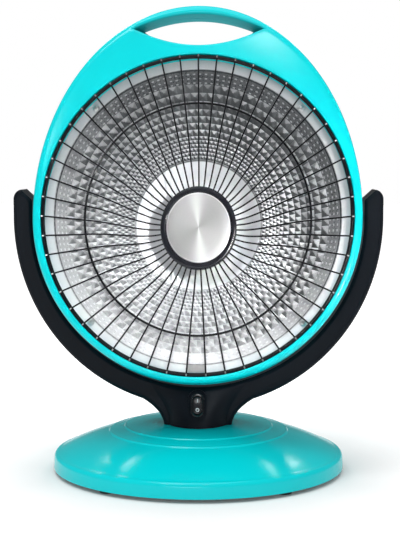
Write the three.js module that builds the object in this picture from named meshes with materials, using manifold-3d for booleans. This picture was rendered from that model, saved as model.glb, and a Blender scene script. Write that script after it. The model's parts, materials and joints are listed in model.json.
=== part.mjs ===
// A parabolic room heater: a tilting egg-shaped head on a yoke over a round weighted base.
// Millimetres, +Z up, the front faces -Y, the origin is on the floor under the middle of the base.

import * as THREE from 'three';
import { ParametricGeometry } from 'three/addons/geometries/ParametricGeometry.js';
import { mergeVertices } from 'three/addons/utils/BufferGeometryUtils.js';
import Module from 'manifold-3d';

const wasm = await Module();
wasm.setup();

// ---------------------------------------------------------------- driving dimensions

const GAP = 0.3; // clearance between pieces that touch or seat on each other
const BORE_PLAY = 0.3; // radial clearance of a screw or pin in its hole
const SHELL_WALL = 2.4; // moulded wall of the housings and the yoke

// base
const BASE_RADIUS = 151;
const BASE_FLOAT = 4; // gap between the floor and the lower edge of the base wall
const BASE_WALL_HEIGHT = 16;
const BASE_RIM_ROUND = 5;
const BASE_DOME_RISE = 29.5; // from the top of the wall to the plateau under the neck
const STEP_RADII = [BASE_RADIUS - 57, BASE_RADIUS - 73]; // two raised rings on the dome
const STEP_RISE = 1;
const PLATEAU_RADIUS = 50;
const CABLE_HOLE_RADIUS = 10;
const PLATE_THICKNESS = 1.6;
const PLATE_RECESS = 2.5; // from the lower edge of the wall up to the steel plate
const BALLAST_INNER = 36;
const BALLAST_OUTER = BASE_RADIUS - 47;
const BALLAST_HEIGHT = 6;
const PLATE_PLAY = 1.4; // the plate's edge inside the wall
const FOOT_RADIUS = 7.5;
const FOOT_CIRCLE = BASE_RADIUS - 13;
const FOOT_ANGLE = 51.5; // degrees from the X axis
const FOOT_STEM_RADIUS = 2.4;
const BASE_SCREW_CIRCLE = BASE_RADIUS - 29;
const BASE_SCREW_ANGLE = 20;
const BOSS_RADIUS = 4.5;
const INLET_WIDTH = 15;
const INLET_HEIGHT = 11;
const INLET_BORE = 3.6;
const INLET_DEPTH = 11; // from the base's rim inwards
const DOME_FULLNESS = 0.4; // 0 is a straight cone

// tip-over switch in the base
const TIP_SWITCH_PLACE = BASE_RADIUS - 29; // behind the middle of the base
const TIP_SWITCH_SIZE = [22, 11, 12];
const PLUNGER_RADIUS = 2.6;
const PLUNGER_TRAVEL = 4;
const PLUNGER_TOP_PLAY = 1; // between the plunger held in and the end of its bore
const TIP_SWITCH_ROOF = 3; // above the plunger's bore

// screws
const SCREW_SHANK = 1.6;
const SCREW_HEAD = 3.6;
const SCREW_HEAD_HEIGHT = 2;
const SCREW_LENGTH = 12;

// head and its face
const HEAD_TILT = 16; // degrees that the face looks upwards at rest
const FACE_FORWARD = 48; // pivot axis to the plane of the face
const FACE_DROP = 5.4; // pivot axis down to the middle of the face
const FACE_HALF_WIDTH = 157.6;
const FACE_HALF_HEIGHT = FACE_HALF_WIDTH + 8.9;
const RIM_SIDE = 8.2;
const RIM_CHIN = 5.5;
const CROWN_RISE = 54.2; // top of the face opening to the top of the handle
const BEZEL_DEPTH = 16; // front housing, face plane to parting line
const FLANGE_DEPTH = 26; // face plane to the back of the handle
const LEDGE_WIDTH = 4.8;
const LEDGE_DEPTH = 5.4;
const LEDGE_THICKNESS = 5.6;
const BOWL_BACK_RADIUS = 66;
const BOWL_LENGTH = 100;
const HOUSING_SCREW_ANGLE = 50;
const VENT_COUNT = 6;
const VENT_SIZE = [64, 4];
const VENT_PITCH = 10;

// yoke
const ARM_WIDTH = 19.5; // at the pivot
const ARM_CLEARANCE = 3.7; // from the face's rim to the arm
const YOKE_HALF_WIDTH = FACE_HALF_WIDTH + RIM_SIDE + ARM_CLEARANCE + ARM_WIDTH;
const YOKE_THROAT = FACE_HALF_HEIGHT + 7; // pivot axis down to the inner curve
const YOKE_DROP = YOKE_THROAT + 22; // pivot axis to the lowest point of the outer curve
const NECK_RISE = 18; // from the base to the lowest point of the outer curve
const PIVOT_HEIGHT = BASE_FLOAT + BASE_WALL_HEIGHT + BASE_DOME_RISE + NECK_RISE + YOKE_DROP;
const YOKE_HALF_DEPTH = 24;
const YOKE_BEVEL = 3;
const ARM_TIP_RISE = 29; // outer corner above the pivot axis
const ARM_TIP_DROP = 8; // the tip slopes down towards the head
const NECK_HALF_WIDTH = 34.8;
const NECK_HALF_DEPTH = 45;
const NECK_TOP_HALF_DEPTH = 31;
const NECK_BLEND = 57; // half width where the neck meets the outer curve
const NECK_FLARE = [[1.5, 10.2], [9, 18.8]]; // how far the edge has widened, at two heights above the base
const COLUMN_SPREAD = 38; // how far the column widens by its top
const COLUMN_POWER = 2.2;
const NECK_POST_HEIGHT = 16;
const NECK_SCREW_PLACE = [20, 22];

// power switch
const SWITCH_RISE = 23; // middle of the switch above the base
const SWITCH_LEAN = 20; // degrees that its face looks upwards
const POCKET_SIZE = [19, 33];
const POCKET_DEPTH = 1.6;
const SWITCH_SIZE = [13, 25];
const SWITCH_DEPTH = 15;
const ROCKER_SIZE = [8.6, 17];
const ROCKER_THROW = 12; // degrees

// handle opening: half span, heights above the top of the face opening
const GRIP_FRONT = { halfSpan: 67, tip: 28, top: 44.4, sill: 10 };
const GRIP_BACK = { halfSpan: 57, tip: 33, top: 44.9, sill: 12 };
const GRIP_TIP_WALL = 1.6; // the wall at the pointed tips, as a share of the wall elsewhere

// reflector, whose cup lies behind the guard's hub plate
const HUB_DEPTH = 57.2; // face plane to the hub plate
const BORDER_RADIUS = FACE_HALF_WIDTH - 12.3; // where the flat flange turns into the dish
const CUP_RADIUS = 65; // where the dish turns into the deep smooth cup
const CUP_EDGE_DEPTH = HUB_DEPTH + 0.8;
const CUP_FLOOR_RADIUS = 36;
const CUP_FLOOR_DEPTH = HUB_DEPTH + 34.8;
const CUP_BEND = [49, CUP_FLOOR_DEPTH - 10.2]; // radius and depth where the cup's wall rounds into its floor
const SHEET = 1; // aluminium sheet
const REFLECTOR_SCREW_RADIUS = BORDER_RADIUS + 3.3;
const CLIP_SIZE = [17, 6.8]; // plate on the flange at the foot of the face

// guard
const WIRE_COUNT = 51;
const GUARD_SECTORS = 6; // made one by one, so that the hollow front stays open to collision
const WIRE_RADIUS = 0.9;
const RING_RADIUS = FACE_HALF_WIDTH - 2.3;
const RING_WIRE_RADIUS = 2;
const MIDDLE_RING_RADIUS = RING_RADIUS - 39.8;
const MIDDLE_RING_DEPTH = 26.6;
const MIDDLE_WIRE_RADIUS = 1.2;
const HUB_RADIUS = 36.5;
const HUB_DROP = 4.5; // the hub hangs this much below the middle of the face
const HUB_THICKNESS = 1.6;
const CAP_RADIUS = 33.5;
const CAP_OVAL = 1.12; // height of the cap to its width
const CAP_THICKNESS = 1.4;
const CAP_BEZEL_RADIUS = 39.8;
const CAP_BEZEL_DEPTH = 6;
const STUD_RADIUS = 2;

// heating element
const CORE_RADIUS = 17;
const CORE_LENGTH = 25;
const CORE_NECK_RADIUS = 10;
const COIL_THICKNESS = 3.4;
const SOCKET_RADIUS = 19;
const SOCKET_LENGTH = 15;

// pivots
const PIVOT_BOSS_RADIUS = 8;
const PIVOT_PIN_RADIUS = 4;
const PIVOT_FLANGE_RADIUS = 7;
const PIVOT_FLANGE = 2.2;
const WASHER_THICKNESS = 0.8;
const NUT_HEIGHT = 3.4;

// facets
const ROUND = 36; // facets of the large round pieces
const SMALL_ROUND = 10; // facets of screws, bosses and pins
const HOUSING_FACETS = 48;
const BOWL_FACETS = 40;
const GRIP_FACETS = 18;

// ---------------------------------------------------------------- worked-out sizes

const plateauHeight = BASE_FLOAT + BASE_WALL_HEIGHT + BASE_DOME_RISE;
const plateBottom = BASE_FLOAT + PLATE_RECESS;
const plateTop = plateBottom + PLATE_THICKNESS;
const neckFoot = plateauHeight + GAP;
const switchHeight = plateauHeight + SWITCH_RISE;
const armInner = YOKE_HALF_WIDTH - ARM_WIDTH;
const faceRatio = FACE_HALF_HEIGHT / FACE_HALF_WIDTH;
const ledgeBack = LEDGE_DEPTH + LEDGE_THICKNESS;
const flangeFront = ledgeBack + GAP;
const partingDepth = BEZEL_DEPTH + GAP;
const bowlEnd = FLANGE_DEPTH + BOWL_LENGTH;
const bossEnd = armInner - 2 * GAP - WASHER_THICKNESS;
const nutSeat = armInner + SHELL_WALL + GAP;
const radians = THREE.MathUtils.degToRad;

// ---------------------------------------------------------------- materials

function finish(color, roughness, metalness) {
  return new THREE.MeshStandardMaterial({ color, roughness, metalness });
}


const TEAL = finish(0x05c4ce, 0.25, 0);
const BLACK = finish(0x191e26, 0.4, 0);
const GLOSS_BLACK = finish(0x0d0f13, 0.2, 0);
const RUBBER = finish(0x111111, 0.9, 0);
const ALUMINIUM = finish(0xd5d8dc, 0.25, 1);
const STEEL = finish(0xb9bcc0, 0.35, 1);
const GUARD_PAINT = finish(0x14161a, 0.4, 0.3);
const CERAMIC = finish(0xe8e2d4, 0.7, 0);
const IRON = finish(0x4a4d50, 0.6, 0.8);

// ---------------------------------------------------------------- solids

// Merges a geometry's shared corners, drops collapsed triangles and turns its faces outwards.
function closed(geometry) {
  const bare = geometry.clone();
  bare.deleteAttribute('normal');
  bare.deleteAttribute('uv');
  const merged = mergeVertices(bare, 1e-4);
  const corner = (i) => new THREE.Vector3().fromBufferAttribute(merged.attributes.position, i);
  const index = merged.index.array;
  const kept = [];
  let volume = 0;
  for (let i = 0; i < index.length; i += 3) {
    const [a, b, c] = [index[i], index[i + 1], index[i + 2]];
    if (a === b || b === c || c === a) continue;
    kept.push([a, b, c]);
    volume += corner(a).dot(corner(b).cross(corner(c)));
  }
  merged.setIndex((volume < 0 ? kept.map(([a, b, c]) => [a, c, b]) : kept).flat());
  return merged;
}

// The solid of a geometry, ready to be joined or cut.
function solid(geometry) {
  const { attributes, index } = closed(geometry);
  return new wasm.Manifold(new wasm.Mesh({
    numProp: 3,
    vertProperties: new Float32Array(attributes.position.array),
    triVerts: new Uint32Array(index.array),
  }));
}

const join = (solids) => solids.reduce((whole, next) => whole.add(next));
const cut = (body, tools) => tools.reduce((left, tool) => left.subtract(tool), body);

// The geometry of a joined or cut solid.
function geometryOf(body) {
  const { vertProperties, triVerts } = body.getMesh();
  const geometry = new THREE.BufferGeometry();
  geometry.setAttribute('position', new THREE.BufferAttribute(new Float32Array(vertProperties), 3));
  geometry.setIndex(Array.from(triVerts));
  return geometry;
}

function piece(name, shape, material) {
  const geometry = shape instanceof THREE.BufferGeometry ? closed(shape) : geometryOf(shape);
  geometry.computeVertexNormals();
  const mesh = new THREE.Mesh(geometry, material);
  mesh.name = name;
  return mesh;
}

function at(object, x, y, z) {
  object.position.set(x, y, z);
  return object;
}

function group(...children) {
  const whole = new THREE.Group();
  whole.add(...children);
  return whole;
}

// A solid of revolution about Z, from a closed profile of [radius, height].
function turned(profile, facets = ROUND) {
  const points = profile.map(([radius, height]) => new THREE.Vector2(radius, height));
  return new THREE.LatheGeometry(points, facets).rotateX(Math.PI / 2);
}

// The same about Y, with depth running to the back, stretched to the face's oval.
function turnedOval(profile, facets = ROUND, ratio = faceRatio) {
  const points = profile.map(([radius, depth]) => new THREE.Vector2(radius, depth));
  return new THREE.LatheGeometry(points, facets).scale(1, 1, ratio);
}

// Cylinders between two stations along each axis.
function rodX(radius, from, to, facets = SMALL_ROUND) {
  const rod = new THREE.CylinderGeometry(radius, radius, to - from, facets);
  return rod.rotateZ(Math.PI / 2).translate((from + to) / 2, 0, 0);
}

function rodY(radius, from, to, facets = SMALL_ROUND) {
  return new THREE.CylinderGeometry(radius, radius, to - from, facets).translate(0, (from + to) / 2, 0);
}

function rodZ(radius, from, to, facets = SMALL_ROUND) {
  const rod = new THREE.CylinderGeometry(radius, radius, to - from, facets);
  return rod.rotateX(Math.PI / 2).translate(0, 0, (from + to) / 2);
}

// A box between two corners.
function block([x0, y0, z0], [x1, y1, z1]) {
  const box = new THREE.BoxGeometry(x1 - x0, y1 - y0, z1 - z0);
  return box.translate((x0 + x1) / 2, (y0 + y1) / 2, (z0 + z1) / 2);
}

// A surface through rows of a profile: rowAt(row, angle) gives the point, and the rows close on
// themselves or end on the axis.
function woven(rows, facets, rowAt) {
  const last = rows.length - 1;
  const surface = (u, v, target) => {
    const place = THREE.MathUtils.clamp(v, 0, 1) * last;
    const row = Math.min(Math.floor(place), last - 1);
    const angle = u * 2 * Math.PI;
    target.copy(rowAt(rows[row], angle)).lerp(rowAt(rows[row + 1], angle), place - row);
  };
  return new ParametricGeometry(surface, facets, last);
}

// A pan-head screw along Z: its head below zero, its shank rising from it.
function screw(length = SCREW_LENGTH) {
  return turned([
    [0, -SCREW_HEAD_HEIGHT],
    [SCREW_HEAD * 0.7, -SCREW_HEAD_HEIGHT],
    [SCREW_HEAD, -SCREW_HEAD_HEIGHT * 0.4],
    [SCREW_HEAD, 0],
    [SCREW_SHANK, 0],
    [SCREW_SHANK, length - SCREW_SHANK],
    [0, length],
  ], SMALL_ROUND);
}

// ---------------------------------------------------------------- base

// A place on a circle, and the four places that mirror an angle left-right and front-back.
function around(radius, degrees) {
  return [radius * Math.cos(radians(degrees)), radius * Math.sin(radians(degrees))];
}

function fourPlaces(radius, degrees) {
  return [degrees, 180 - degrees, 180 + degrees, -degrees].map((a) => around(radius, a));
}

const footPlaces = fourPlaces(FOOT_CIRCLE, FOOT_ANGLE);
const baseScrewPlaces = fourPlaces(BASE_SCREW_CIRCLE, BASE_SCREW_ANGLE);
const neckScrewPlaces = [[1, 1], [-1, 1], [-1, -1], [1, -1]].map(([i, j]) => [
  i * NECK_SCREW_PLACE[0],
  j * NECK_SCREW_PLACE[1],
]);

// Height of the dome, without its steps: steeper towards the rim.
function domeHeight(radius) {
  const rimRadius = BASE_RADIUS - BASE_RIM_ROUND;
  const t = THREE.MathUtils.clamp((rimRadius - radius) / (rimRadius - PLATEAU_RADIUS), 0, 1);
  const rise = BASE_DOME_RISE - STEP_RISE * STEP_RADII.length;
  return BASE_FLOAT + BASE_WALL_HEIGHT + rise * ((1 + DOME_FULLNESS) * t - DOME_FULLNESS * t * t);
}

function baseOuterProfile() {
  const wallTop = BASE_FLOAT + BASE_WALL_HEIGHT;
  const profile = [
    [BASE_RADIUS, BASE_FLOAT],
    [BASE_RADIUS - 0.6, wallTop - BASE_RIM_ROUND],
    [BASE_RADIUS - 1.6, wallTop - BASE_RIM_ROUND * 0.4],
    [BASE_RADIUS - BASE_RIM_ROUND, wallTop],
  ];
  let climbed = 0;
  for (const radius of [(BASE_RADIUS + STEP_RADII[0]) / 2, ...STEP_RADII]) {
    profile.push([radius, domeHeight(radius) + climbed]);
    if (!STEP_RADII.includes(radius)) continue;
    climbed += STEP_RISE;
    profile.push([radius - STEP_RISE, domeHeight(radius) + climbed]);
  }
  profile.push([PLATEAU_RADIUS, plateauHeight]);
  profile.push([CABLE_HOLE_RADIUS, plateauHeight]);
  return profile;
}

function baseInnerProfile() {
  const wallTop = BASE_FLOAT + BASE_WALL_HEIGHT;
  const inner = BASE_RADIUS - SHELL_WALL;
  return [
    [inner, BASE_FLOAT],
    [inner - 1, wallTop - BASE_RIM_ROUND],
    [inner - BASE_RIM_ROUND, wallTop - SHELL_WALL],
    [STEP_RADII[0], domeHeight(STEP_RADII[0]) - SHELL_WALL],
    [PLATEAU_RADIUS, plateauHeight - SHELL_WALL],
    [CABLE_HOLE_RADIUS, plateauHeight - SHELL_WALL],
  ];
}

function baseShell() {
  const inner = baseInnerProfile();
  const outer = baseOuterProfile();
  const shell = solid(turned([...outer, ...inner.reverse(), outer[0]]));
  const bosses = baseScrewPlaces.map(([x, y]) => {
    const top = domeHeight(BASE_SCREW_CIRCLE + BOSS_RADIUS) - SHELL_WALL / 2;
    return solid(rodZ(BOSS_RADIUS, plateTop + GAP, top).translate(x, y, 0));
  });
  const bores = baseScrewPlaces.map(([x, y]) => {
    return solid(rodZ(SCREW_SHANK + BORE_PLAY, 0, plateTop + SCREW_LENGTH).translate(x, y, 0));
  });
  const neckHoles = neckScrewPlaces.map(([x, y]) => {
    return solid(rodZ(SCREW_SHANK + BORE_PLAY, 0, plateauHeight + GAP).translate(x, y, 0));
  });
  const inletTop = BASE_FLOAT + INLET_HEIGHT + GAP;
  const inletHalf = INLET_WIDTH / 2 + GAP;
  const notchFront = BASE_RADIUS - INLET_DEPTH - 1;
  const notch = solid(block([-inletHalf, notchFront, 0], [inletHalf, BASE_RADIUS + 5, inletTop]));
  return cut(join([shell, ...bosses]), [...bores, ...neckHoles, notch]);
}

function basePlate() {
  const radius = BASE_RADIUS - SHELL_WALL - PLATE_PLAY;
  const plate = solid(rodZ(radius, plateBottom, plateTop, ROUND));
  const drill = (hole, [x, y]) => solid(rodZ(hole, 0, plateTop + 5).translate(x, y, 0));
  const holes = [
    ...footPlaces.map((place) => drill(FOOT_STEM_RADIUS + BORE_PLAY, place)),
    ...baseScrewPlaces.map((place) => drill(SCREW_SHANK + BORE_PLAY, place)),
    drill(PLUNGER_RADIUS + BORE_PLAY, [0, TIP_SWITCH_PLACE]),
  ];
  const inletHalf = INLET_WIDTH / 2 + 2 * GAP;
  const notchFront = BASE_RADIUS - INLET_DEPTH - 2;
  const notch = solid(block([-inletHalf, notchFront, 0], [inletHalf, BASE_RADIUS, plateTop + 5]));
  return cut(plate, [...holes, notch]);
}

function ballast() {
  const bottom = plateTop + GAP;
  const top = bottom + BALLAST_HEIGHT;
  return turned([
    [BALLAST_INNER, bottom],
    [BALLAST_OUTER, bottom],
    [BALLAST_OUTER, top - 1],
    [BALLAST_OUTER - 1, top],
    [BALLAST_INNER, top],
    [BALLAST_INNER, bottom],
  ], ROUND / 2);
}

function foot() {
  const seat = plateBottom - GAP;
  return turned([
    [0, 0],
    [FOOT_RADIUS - 1, 0],
    [FOOT_RADIUS, 1],
    [FOOT_RADIUS, seat],
    [FOOT_STEM_RADIUS, seat],
    [FOOT_STEM_RADIUS, plateTop + 1.5],
    [0, plateTop + 1.5],
  ], SMALL_ROUND);
}

// The inlet where the supply cord enters at the back of the base.
function cordInlet() {
  const middle = BASE_FLOAT + INLET_HEIGHT / 2;
  const body = solid(block(
    [-INLET_WIDTH / 2, BASE_RADIUS - INLET_DEPTH, BASE_FLOAT],
    [INLET_WIDTH / 2, BASE_RADIUS, BASE_FLOAT + INLET_HEIGHT],
  ));
  const bore = solid(rodY(INLET_BORE, BASE_RADIUS - 2 * INLET_DEPTH, BASE_RADIUS + 5));
  return cut(body, [bore.translate([0, 0, middle])]);
}

function tipSwitchBody() {
  const [width, depth, height] = TIP_SWITCH_SIZE;
  const bottom = plateTop + GAP;
  const body = solid(block([-width / 2, -depth / 2, bottom], [width / 2, depth / 2, bottom + height]));
  const bore = solid(rodZ(PLUNGER_RADIUS + BORE_PLAY, 0, bottom + height - TIP_SWITCH_ROOF));
  return cut(body, [bore]);
}

// The plunger stands on the floor and holds the contacts shut while the heater is upright.
function tipPlunger() {
  const top = plateTop + GAP + TIP_SWITCH_SIZE[2] - TIP_SWITCH_ROOF - PLUNGER_TOP_PLAY;
  return turned([
    [0, 0],
    [PLUNGER_RADIUS - 1, 0],
    [PLUNGER_RADIUS, 1],
    [PLUNGER_RADIUS, top],
    [0, top],
  ], SMALL_ROUND);
}

function base() {
  const whole = group(
    piece('base_shell', baseShell(), TEAL),
    piece('base_plate', basePlate(), STEEL),
    piece('ballast_ring', ballast(), IRON),
    piece('cord_inlet_bush', cordInlet(), RUBBER),
    at(piece('tip_switch_body', tipSwitchBody(), BLACK), 0, TIP_SWITCH_PLACE, 0),
    at(piece('tip_switch_plunger', tipPlunger(), RUBBER), 0, TIP_SWITCH_PLACE, 0),
  );
  footPlaces.forEach(([x, y], i) => whole.add(at(piece(`foot_${i + 1}`, foot(), RUBBER), x, y, 0)));
  baseScrewPlaces.forEach(([x, y], i) => {
    whole.add(at(piece(`base_screw_${i + 1}`, screw(), STEEL), x, y, plateBottom - GAP));
  });
  neckScrewPlaces.forEach(([x, y], i) => {
    whole.add(at(piece(`neck_screw_${i + 1}`, screw(), STEEL), x, y, plateauHeight - SHELL_WALL - GAP));
  });
  return whole;
}

// ---------------------------------------------------------------- yoke

// The yoke seen from the front, right half from the neck's foot round the arm to the middle of
// the throat, then the left half back. Every edge is drawn in by the inset.
function yokeOutline(inset, footHeight) {
  const outerX = YOKE_HALF_WIDTH - inset;
  const outerZ = YOKE_DROP - inset;
  const innerX = armInner + inset;
  const innerZ = YOKE_THROAT + inset;
  const neck = NECK_HALF_WIDTH - inset;
  const blend = NECK_BLEND - inset;
  const blendAngle = Math.asin(blend / outerX);
  const blendHeight = PIVOT_HEIGHT - outerZ * Math.cos(blendAngle);
  const tipTop = PIVOT_HEIGHT + ARM_TIP_RISE - inset;
  const tipInner = tipTop - ARM_TIP_DROP;
  const v = (x, z) => new THREE.Vector2(x, z);
  const flare = NECK_FLARE.map(([spread, rise]) => v(neck + spread, neckFoot + rise));
  const blendCurve = new THREE.CubicBezierCurve(v(neck, footHeight), ...flare, v(blend, blendHeight));
  const arc = new THREE.EllipseCurve(0, PIVOT_HEIGHT, outerX, outerZ, blendAngle - Math.PI / 2, 0.04);
  const tipEnds = [v(outerX - 1, tipTop - 1), v(outerX - 8, tipTop)];
  const tip = new THREE.QuadraticBezierCurve(arc.getPoint(1), ...tipEnds);
  const throat = new THREE.EllipseCurve(0, PIVOT_HEIGHT, innerX, innerZ, 0, -Math.PI / 2, true);
  const right = [
    ...blendCurve.getPoints(5),
    ...arc.getPoints(14).slice(1),
    ...tip.getPoints(3).slice(1),
    v(innerX + 2, tipInner),
    v(innerX, tipInner - 6),
    ...throat.getPoints(14),
  ];
  const left = right.slice(0, -1).reverse().map(({ x, y }) => v(-x, y));
  return new THREE.Shape([...right, ...left]);
}

function yokeSlab(inset, footHeight) {
  const bevel = inset > 0 ? 0 : YOKE_BEVEL;
  const depth = 2 * (YOKE_HALF_DEPTH - inset - bevel);
  const slab = new THREE.ExtrudeGeometry(yokeOutline(inset, footHeight), {
    depth,
    bevelEnabled: bevel > 0,
    bevelThickness: bevel,
    bevelSize: bevel,
    bevelOffset: -bevel,
    bevelSegments: 1,
    curveSegments: 1,
  });
  return solid(slab.translate(0, 0, -depth / 2).rotateX(Math.PI / 2));
}

// The neck bulges forwards and backwards of the arms: an oval column that widens as it climbs.
function neckColumn(inset, footHeight) {
  const top = PIVOT_HEIGHT - YOKE_THROAT - inset - GAP;
  const steps = 6;
  const rows = [{ x: 0, y: 0, z: footHeight }];
  for (let i = 0; i <= steps; i += 1) {
    const t = i / steps;
    rows.push({
      x: NECK_HALF_WIDTH + COLUMN_SPREAD * t ** COLUMN_POWER - inset,
      y: THREE.MathUtils.lerp(NECK_HALF_DEPTH, NECK_TOP_HALF_DEPTH, t) - inset,
      z: THREE.MathUtils.lerp(footHeight, top, t),
    });
  }
  rows.push({ x: 0, y: 0, z: top });
  const rowAt = (row, angle) => new THREE.Vector3(row.x * Math.cos(angle), row.y * Math.sin(angle), row.z);
  return solid(woven(rows, ROUND / 2, rowAt));
}

// A prism with round ends, standing upright in the switch's own frame.
function slot([width, height], front, back) {
  const r = width / 2;
  const straight = height / 2 - r;
  const outline = new THREE.Shape();
  outline.absarc(0, straight, r, 0, Math.PI, false);
  outline.absarc(0, -straight, r, Math.PI, 2 * Math.PI, false);
  const prism = new THREE.ExtrudeGeometry(outline, {
    depth: back - front,
    bevelEnabled: false,
    curveSegments: 8,
  });
  return prism.rotateX(Math.PI / 2).translate(0, back, 0);
}

// Depth of the neck's front at the switch, and the frame of the switch on it.
const neckClimb = (switchHeight - neckFoot) / (PIVOT_HEIGHT - YOKE_THROAT - neckFoot);
const switchFront = THREE.MathUtils.lerp(NECK_HALF_DEPTH, NECK_TOP_HALF_DEPTH, neckClimb);
function inSwitchFrame(geometry) {
  return geometry.rotateX(-radians(SWITCH_LEAN)).translate(0, -switchFront, switchHeight);
}

function yokeShells() {
  const floorTop = neckFoot + SHELL_WALL;
  const body = yokeSlab(0, neckFoot).add(neckColumn(0, neckFoot));
  const hollow = yokeSlab(SHELL_WALL, floorTop).add(neckColumn(SHELL_WALL, floorTop));
  const posts = neckScrewPlaces.map(([x, y]) => {
    return solid(rodZ(BOSS_RADIUS, neckFoot, neckFoot + NECK_POST_HEIGHT).translate(x, y, 0));
  });
  const bores = neckScrewPlaces.map(([x, y]) => {
    return solid(rodZ(SCREW_SHANK + BORE_PLAY, 0, neckFoot + NECK_POST_HEIGHT - 2).translate(x, y, 0));
  });
  const pocket = solid(inSwitchFrame(slot(POCKET_SIZE, -10, POCKET_DEPTH)));
  const pocketFloor = solid(inSwitchFrame(slot(POCKET_SIZE, POCKET_DEPTH, POCKET_DEPTH + SHELL_WALL)));
  const switchHole = solid(inSwitchFrame(slot(SWITCH_SIZE.map((s) => s + 2 * GAP), -10, SWITCH_DEPTH + 3)));
  const cable = solid(rodZ(CABLE_HOLE_RADIUS, 0, floorTop + 2));
  const pinReach = YOKE_HALF_WIDTH - SHELL_WALL - 2;
  const pin = solid(rodX(PIVOT_PIN_RADIUS + BORE_PLAY, -pinReach, pinReach).translate(0, 0, PIVOT_HEIGHT));
  const walls = join([body.subtract(hollow), ...posts, pocketFloor]).intersect(body);
  const pivotSeat = solid(rodX(PIVOT_BOSS_RADIUS + 1, -armInner, armInner).translate(0, 0, PIVOT_HEIGHT));
  const shell = cut(walls, [...bores, pocket, switchHole, cable, pin, pivotSeat]);
  const reach = 2 * YOKE_HALF_WIDTH;
  const frontSpace = solid(block([-reach, -reach, 0], [reach, -GAP / 2, 2 * PIVOT_HEIGHT]));
  const rearSpace = solid(block([-reach, GAP / 2, 0], [reach, reach, 2 * PIVOT_HEIGHT]));
  return [shell.intersect(frontSpace), shell.intersect(rearSpace)];
}

// ---------------------------------------------------------------- power switch

const rockerPivotDepth = 3;

function switchHousing() {
  const body = solid(slot(SWITCH_SIZE, POCKET_DEPTH - 1.8, SWITCH_DEPTH));
  const [width, height] = ROCKER_SIZE;
  const halfWidth = width / 2 + GAP;
  const halfHeight = height / 2 + 4 * GAP;
  const well = solid(block([-halfWidth, -5, -halfHeight], [halfWidth, SWITCH_DEPTH - 4, halfHeight]));
  return cut(body, [well]);
}

// The rocker is a shallow wedge: the upper end stands proud while the lower end is pressed in.
function rocker() {
  const [width, height] = ROCKER_SIZE;
  const side = new THREE.Shape();
  const rise = (height / 2) * Math.tan(radians(ROCKER_THROW / 2));
  side.moveTo(-height / 2, rise * 0.45);
  side.lineTo(0, 0);
  side.lineTo(height / 2, -rise - 1);
  side.lineTo(height / 2 - 1.4, rockerPivotDepth + 2);
  side.lineTo(-height / 2 + 1.4, rockerPivotDepth + 2.4);
  side.closePath();
  const wedge = new THREE.ExtrudeGeometry(side, { depth: width, bevelEnabled: false });
  const turn = new THREE.Matrix4().makeBasis(
    new THREE.Vector3(0, 0, 1),
    new THREE.Vector3(0, 1, 0),
    new THREE.Vector3(-1, 0, 0),
  );
  return wedge.translate(0, 0, -width / 2).applyMatrix4(turn);
}

function powerSwitch() {
  const whole = group(
    piece('switch_housing', switchHousing(), GLOSS_BLACK),
    piece('switch_rocker', rocker(), GLOSS_BLACK),
  );
  whole.rotation.x = -radians(SWITCH_LEAN);
  return at(whole, 0, -switchFront, switchHeight);
}

// ---------------------------------------------------------------- head housings
// The head is drawn in its own frame: origin in the middle of the face, depth runs to +Y.

// A row of a housing's section. 'spread' runs from the oval of the opening (0) to the egg-shaped
// outline (1), 'scale' shrinks the oval towards the axis, 'offset' moves the row outwards.
const row = (depth, spread, offset = 0, scale = 1) => ({ depth, spread, offset, scale });

function housingPoint(sizes) {
  return ({ depth, spread, offset, scale }, angle) => {
    const c = Math.cos(angle);
    const s = Math.sin(angle);
    const eggHeight = s > 0 ? sizes.crown : sizes.chin;
    const x = THREE.MathUtils.lerp(sizes.halfWidth, sizes.eggHalfWidth, spread) * scale * c;
    const z = THREE.MathUtils.lerp(sizes.halfHeight, eggHeight, spread) * scale * s;
    return new THREE.Vector3(x + offset * c, depth, z + offset * s);
  };
}

const wallTaper = RIM_CHIN * 0.6; // the wall draws in from the face to the parting line
const bezelSizes = {
  halfWidth: FACE_HALF_WIDTH,
  halfHeight: FACE_HALF_HEIGHT,
  eggHalfWidth: FACE_HALF_WIDTH + RIM_SIDE,
  crown: FACE_HALF_HEIGHT + CROWN_RISE,
  chin: FACE_HALF_HEIGHT + RIM_CHIN,
};

// A lens between two arcs that taper from the front of the handle opening to its back. 'wall'
// thickens it all round.
function gripLens(fromDepth, toDepth, wall) {
  const lens = (depth, flat) => {
    const blend = (key) => THREE.MathUtils.lerp(GRIP_FRONT[key], GRIP_BACK[key], depth / FLANGE_DEPTH);
    const tip = blend('tip');
    const [up, down] = [blend('top') + wall - tip, tip - blend('sill') + wall];
    return { depth, tip, up, down, span: blend('halfSpan') + wall * GRIP_TIP_WALL, flat };
  };
  const rows = [lens(fromDepth, true), lens(fromDepth), lens(toDepth), lens(toDepth, true)];
  const rowAt = ({ depth, tip, up, down, span, flat }, angle) => {
    const middle = new THREE.Vector3(0, depth, FACE_HALF_HEIGHT + tip);
    if (flat) return middle;
    const bulge = Math.sin(angle) ** 2 * (Math.sin(angle) > 0 ? up : -down);
    return middle.add(new THREE.Vector3(span * Math.cos(angle), 0, bulge));
  };
  return solid(woven(rows, GRIP_FACETS, rowAt));
}

const housingScrewPlaces = [-1, 1].map((side) => {
  const { x, z } = housingPoint(bezelSizes)(row(0, 0.5), radians(HOUSING_SCREW_ANGLE));
  return [side * x, z];
});

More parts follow.
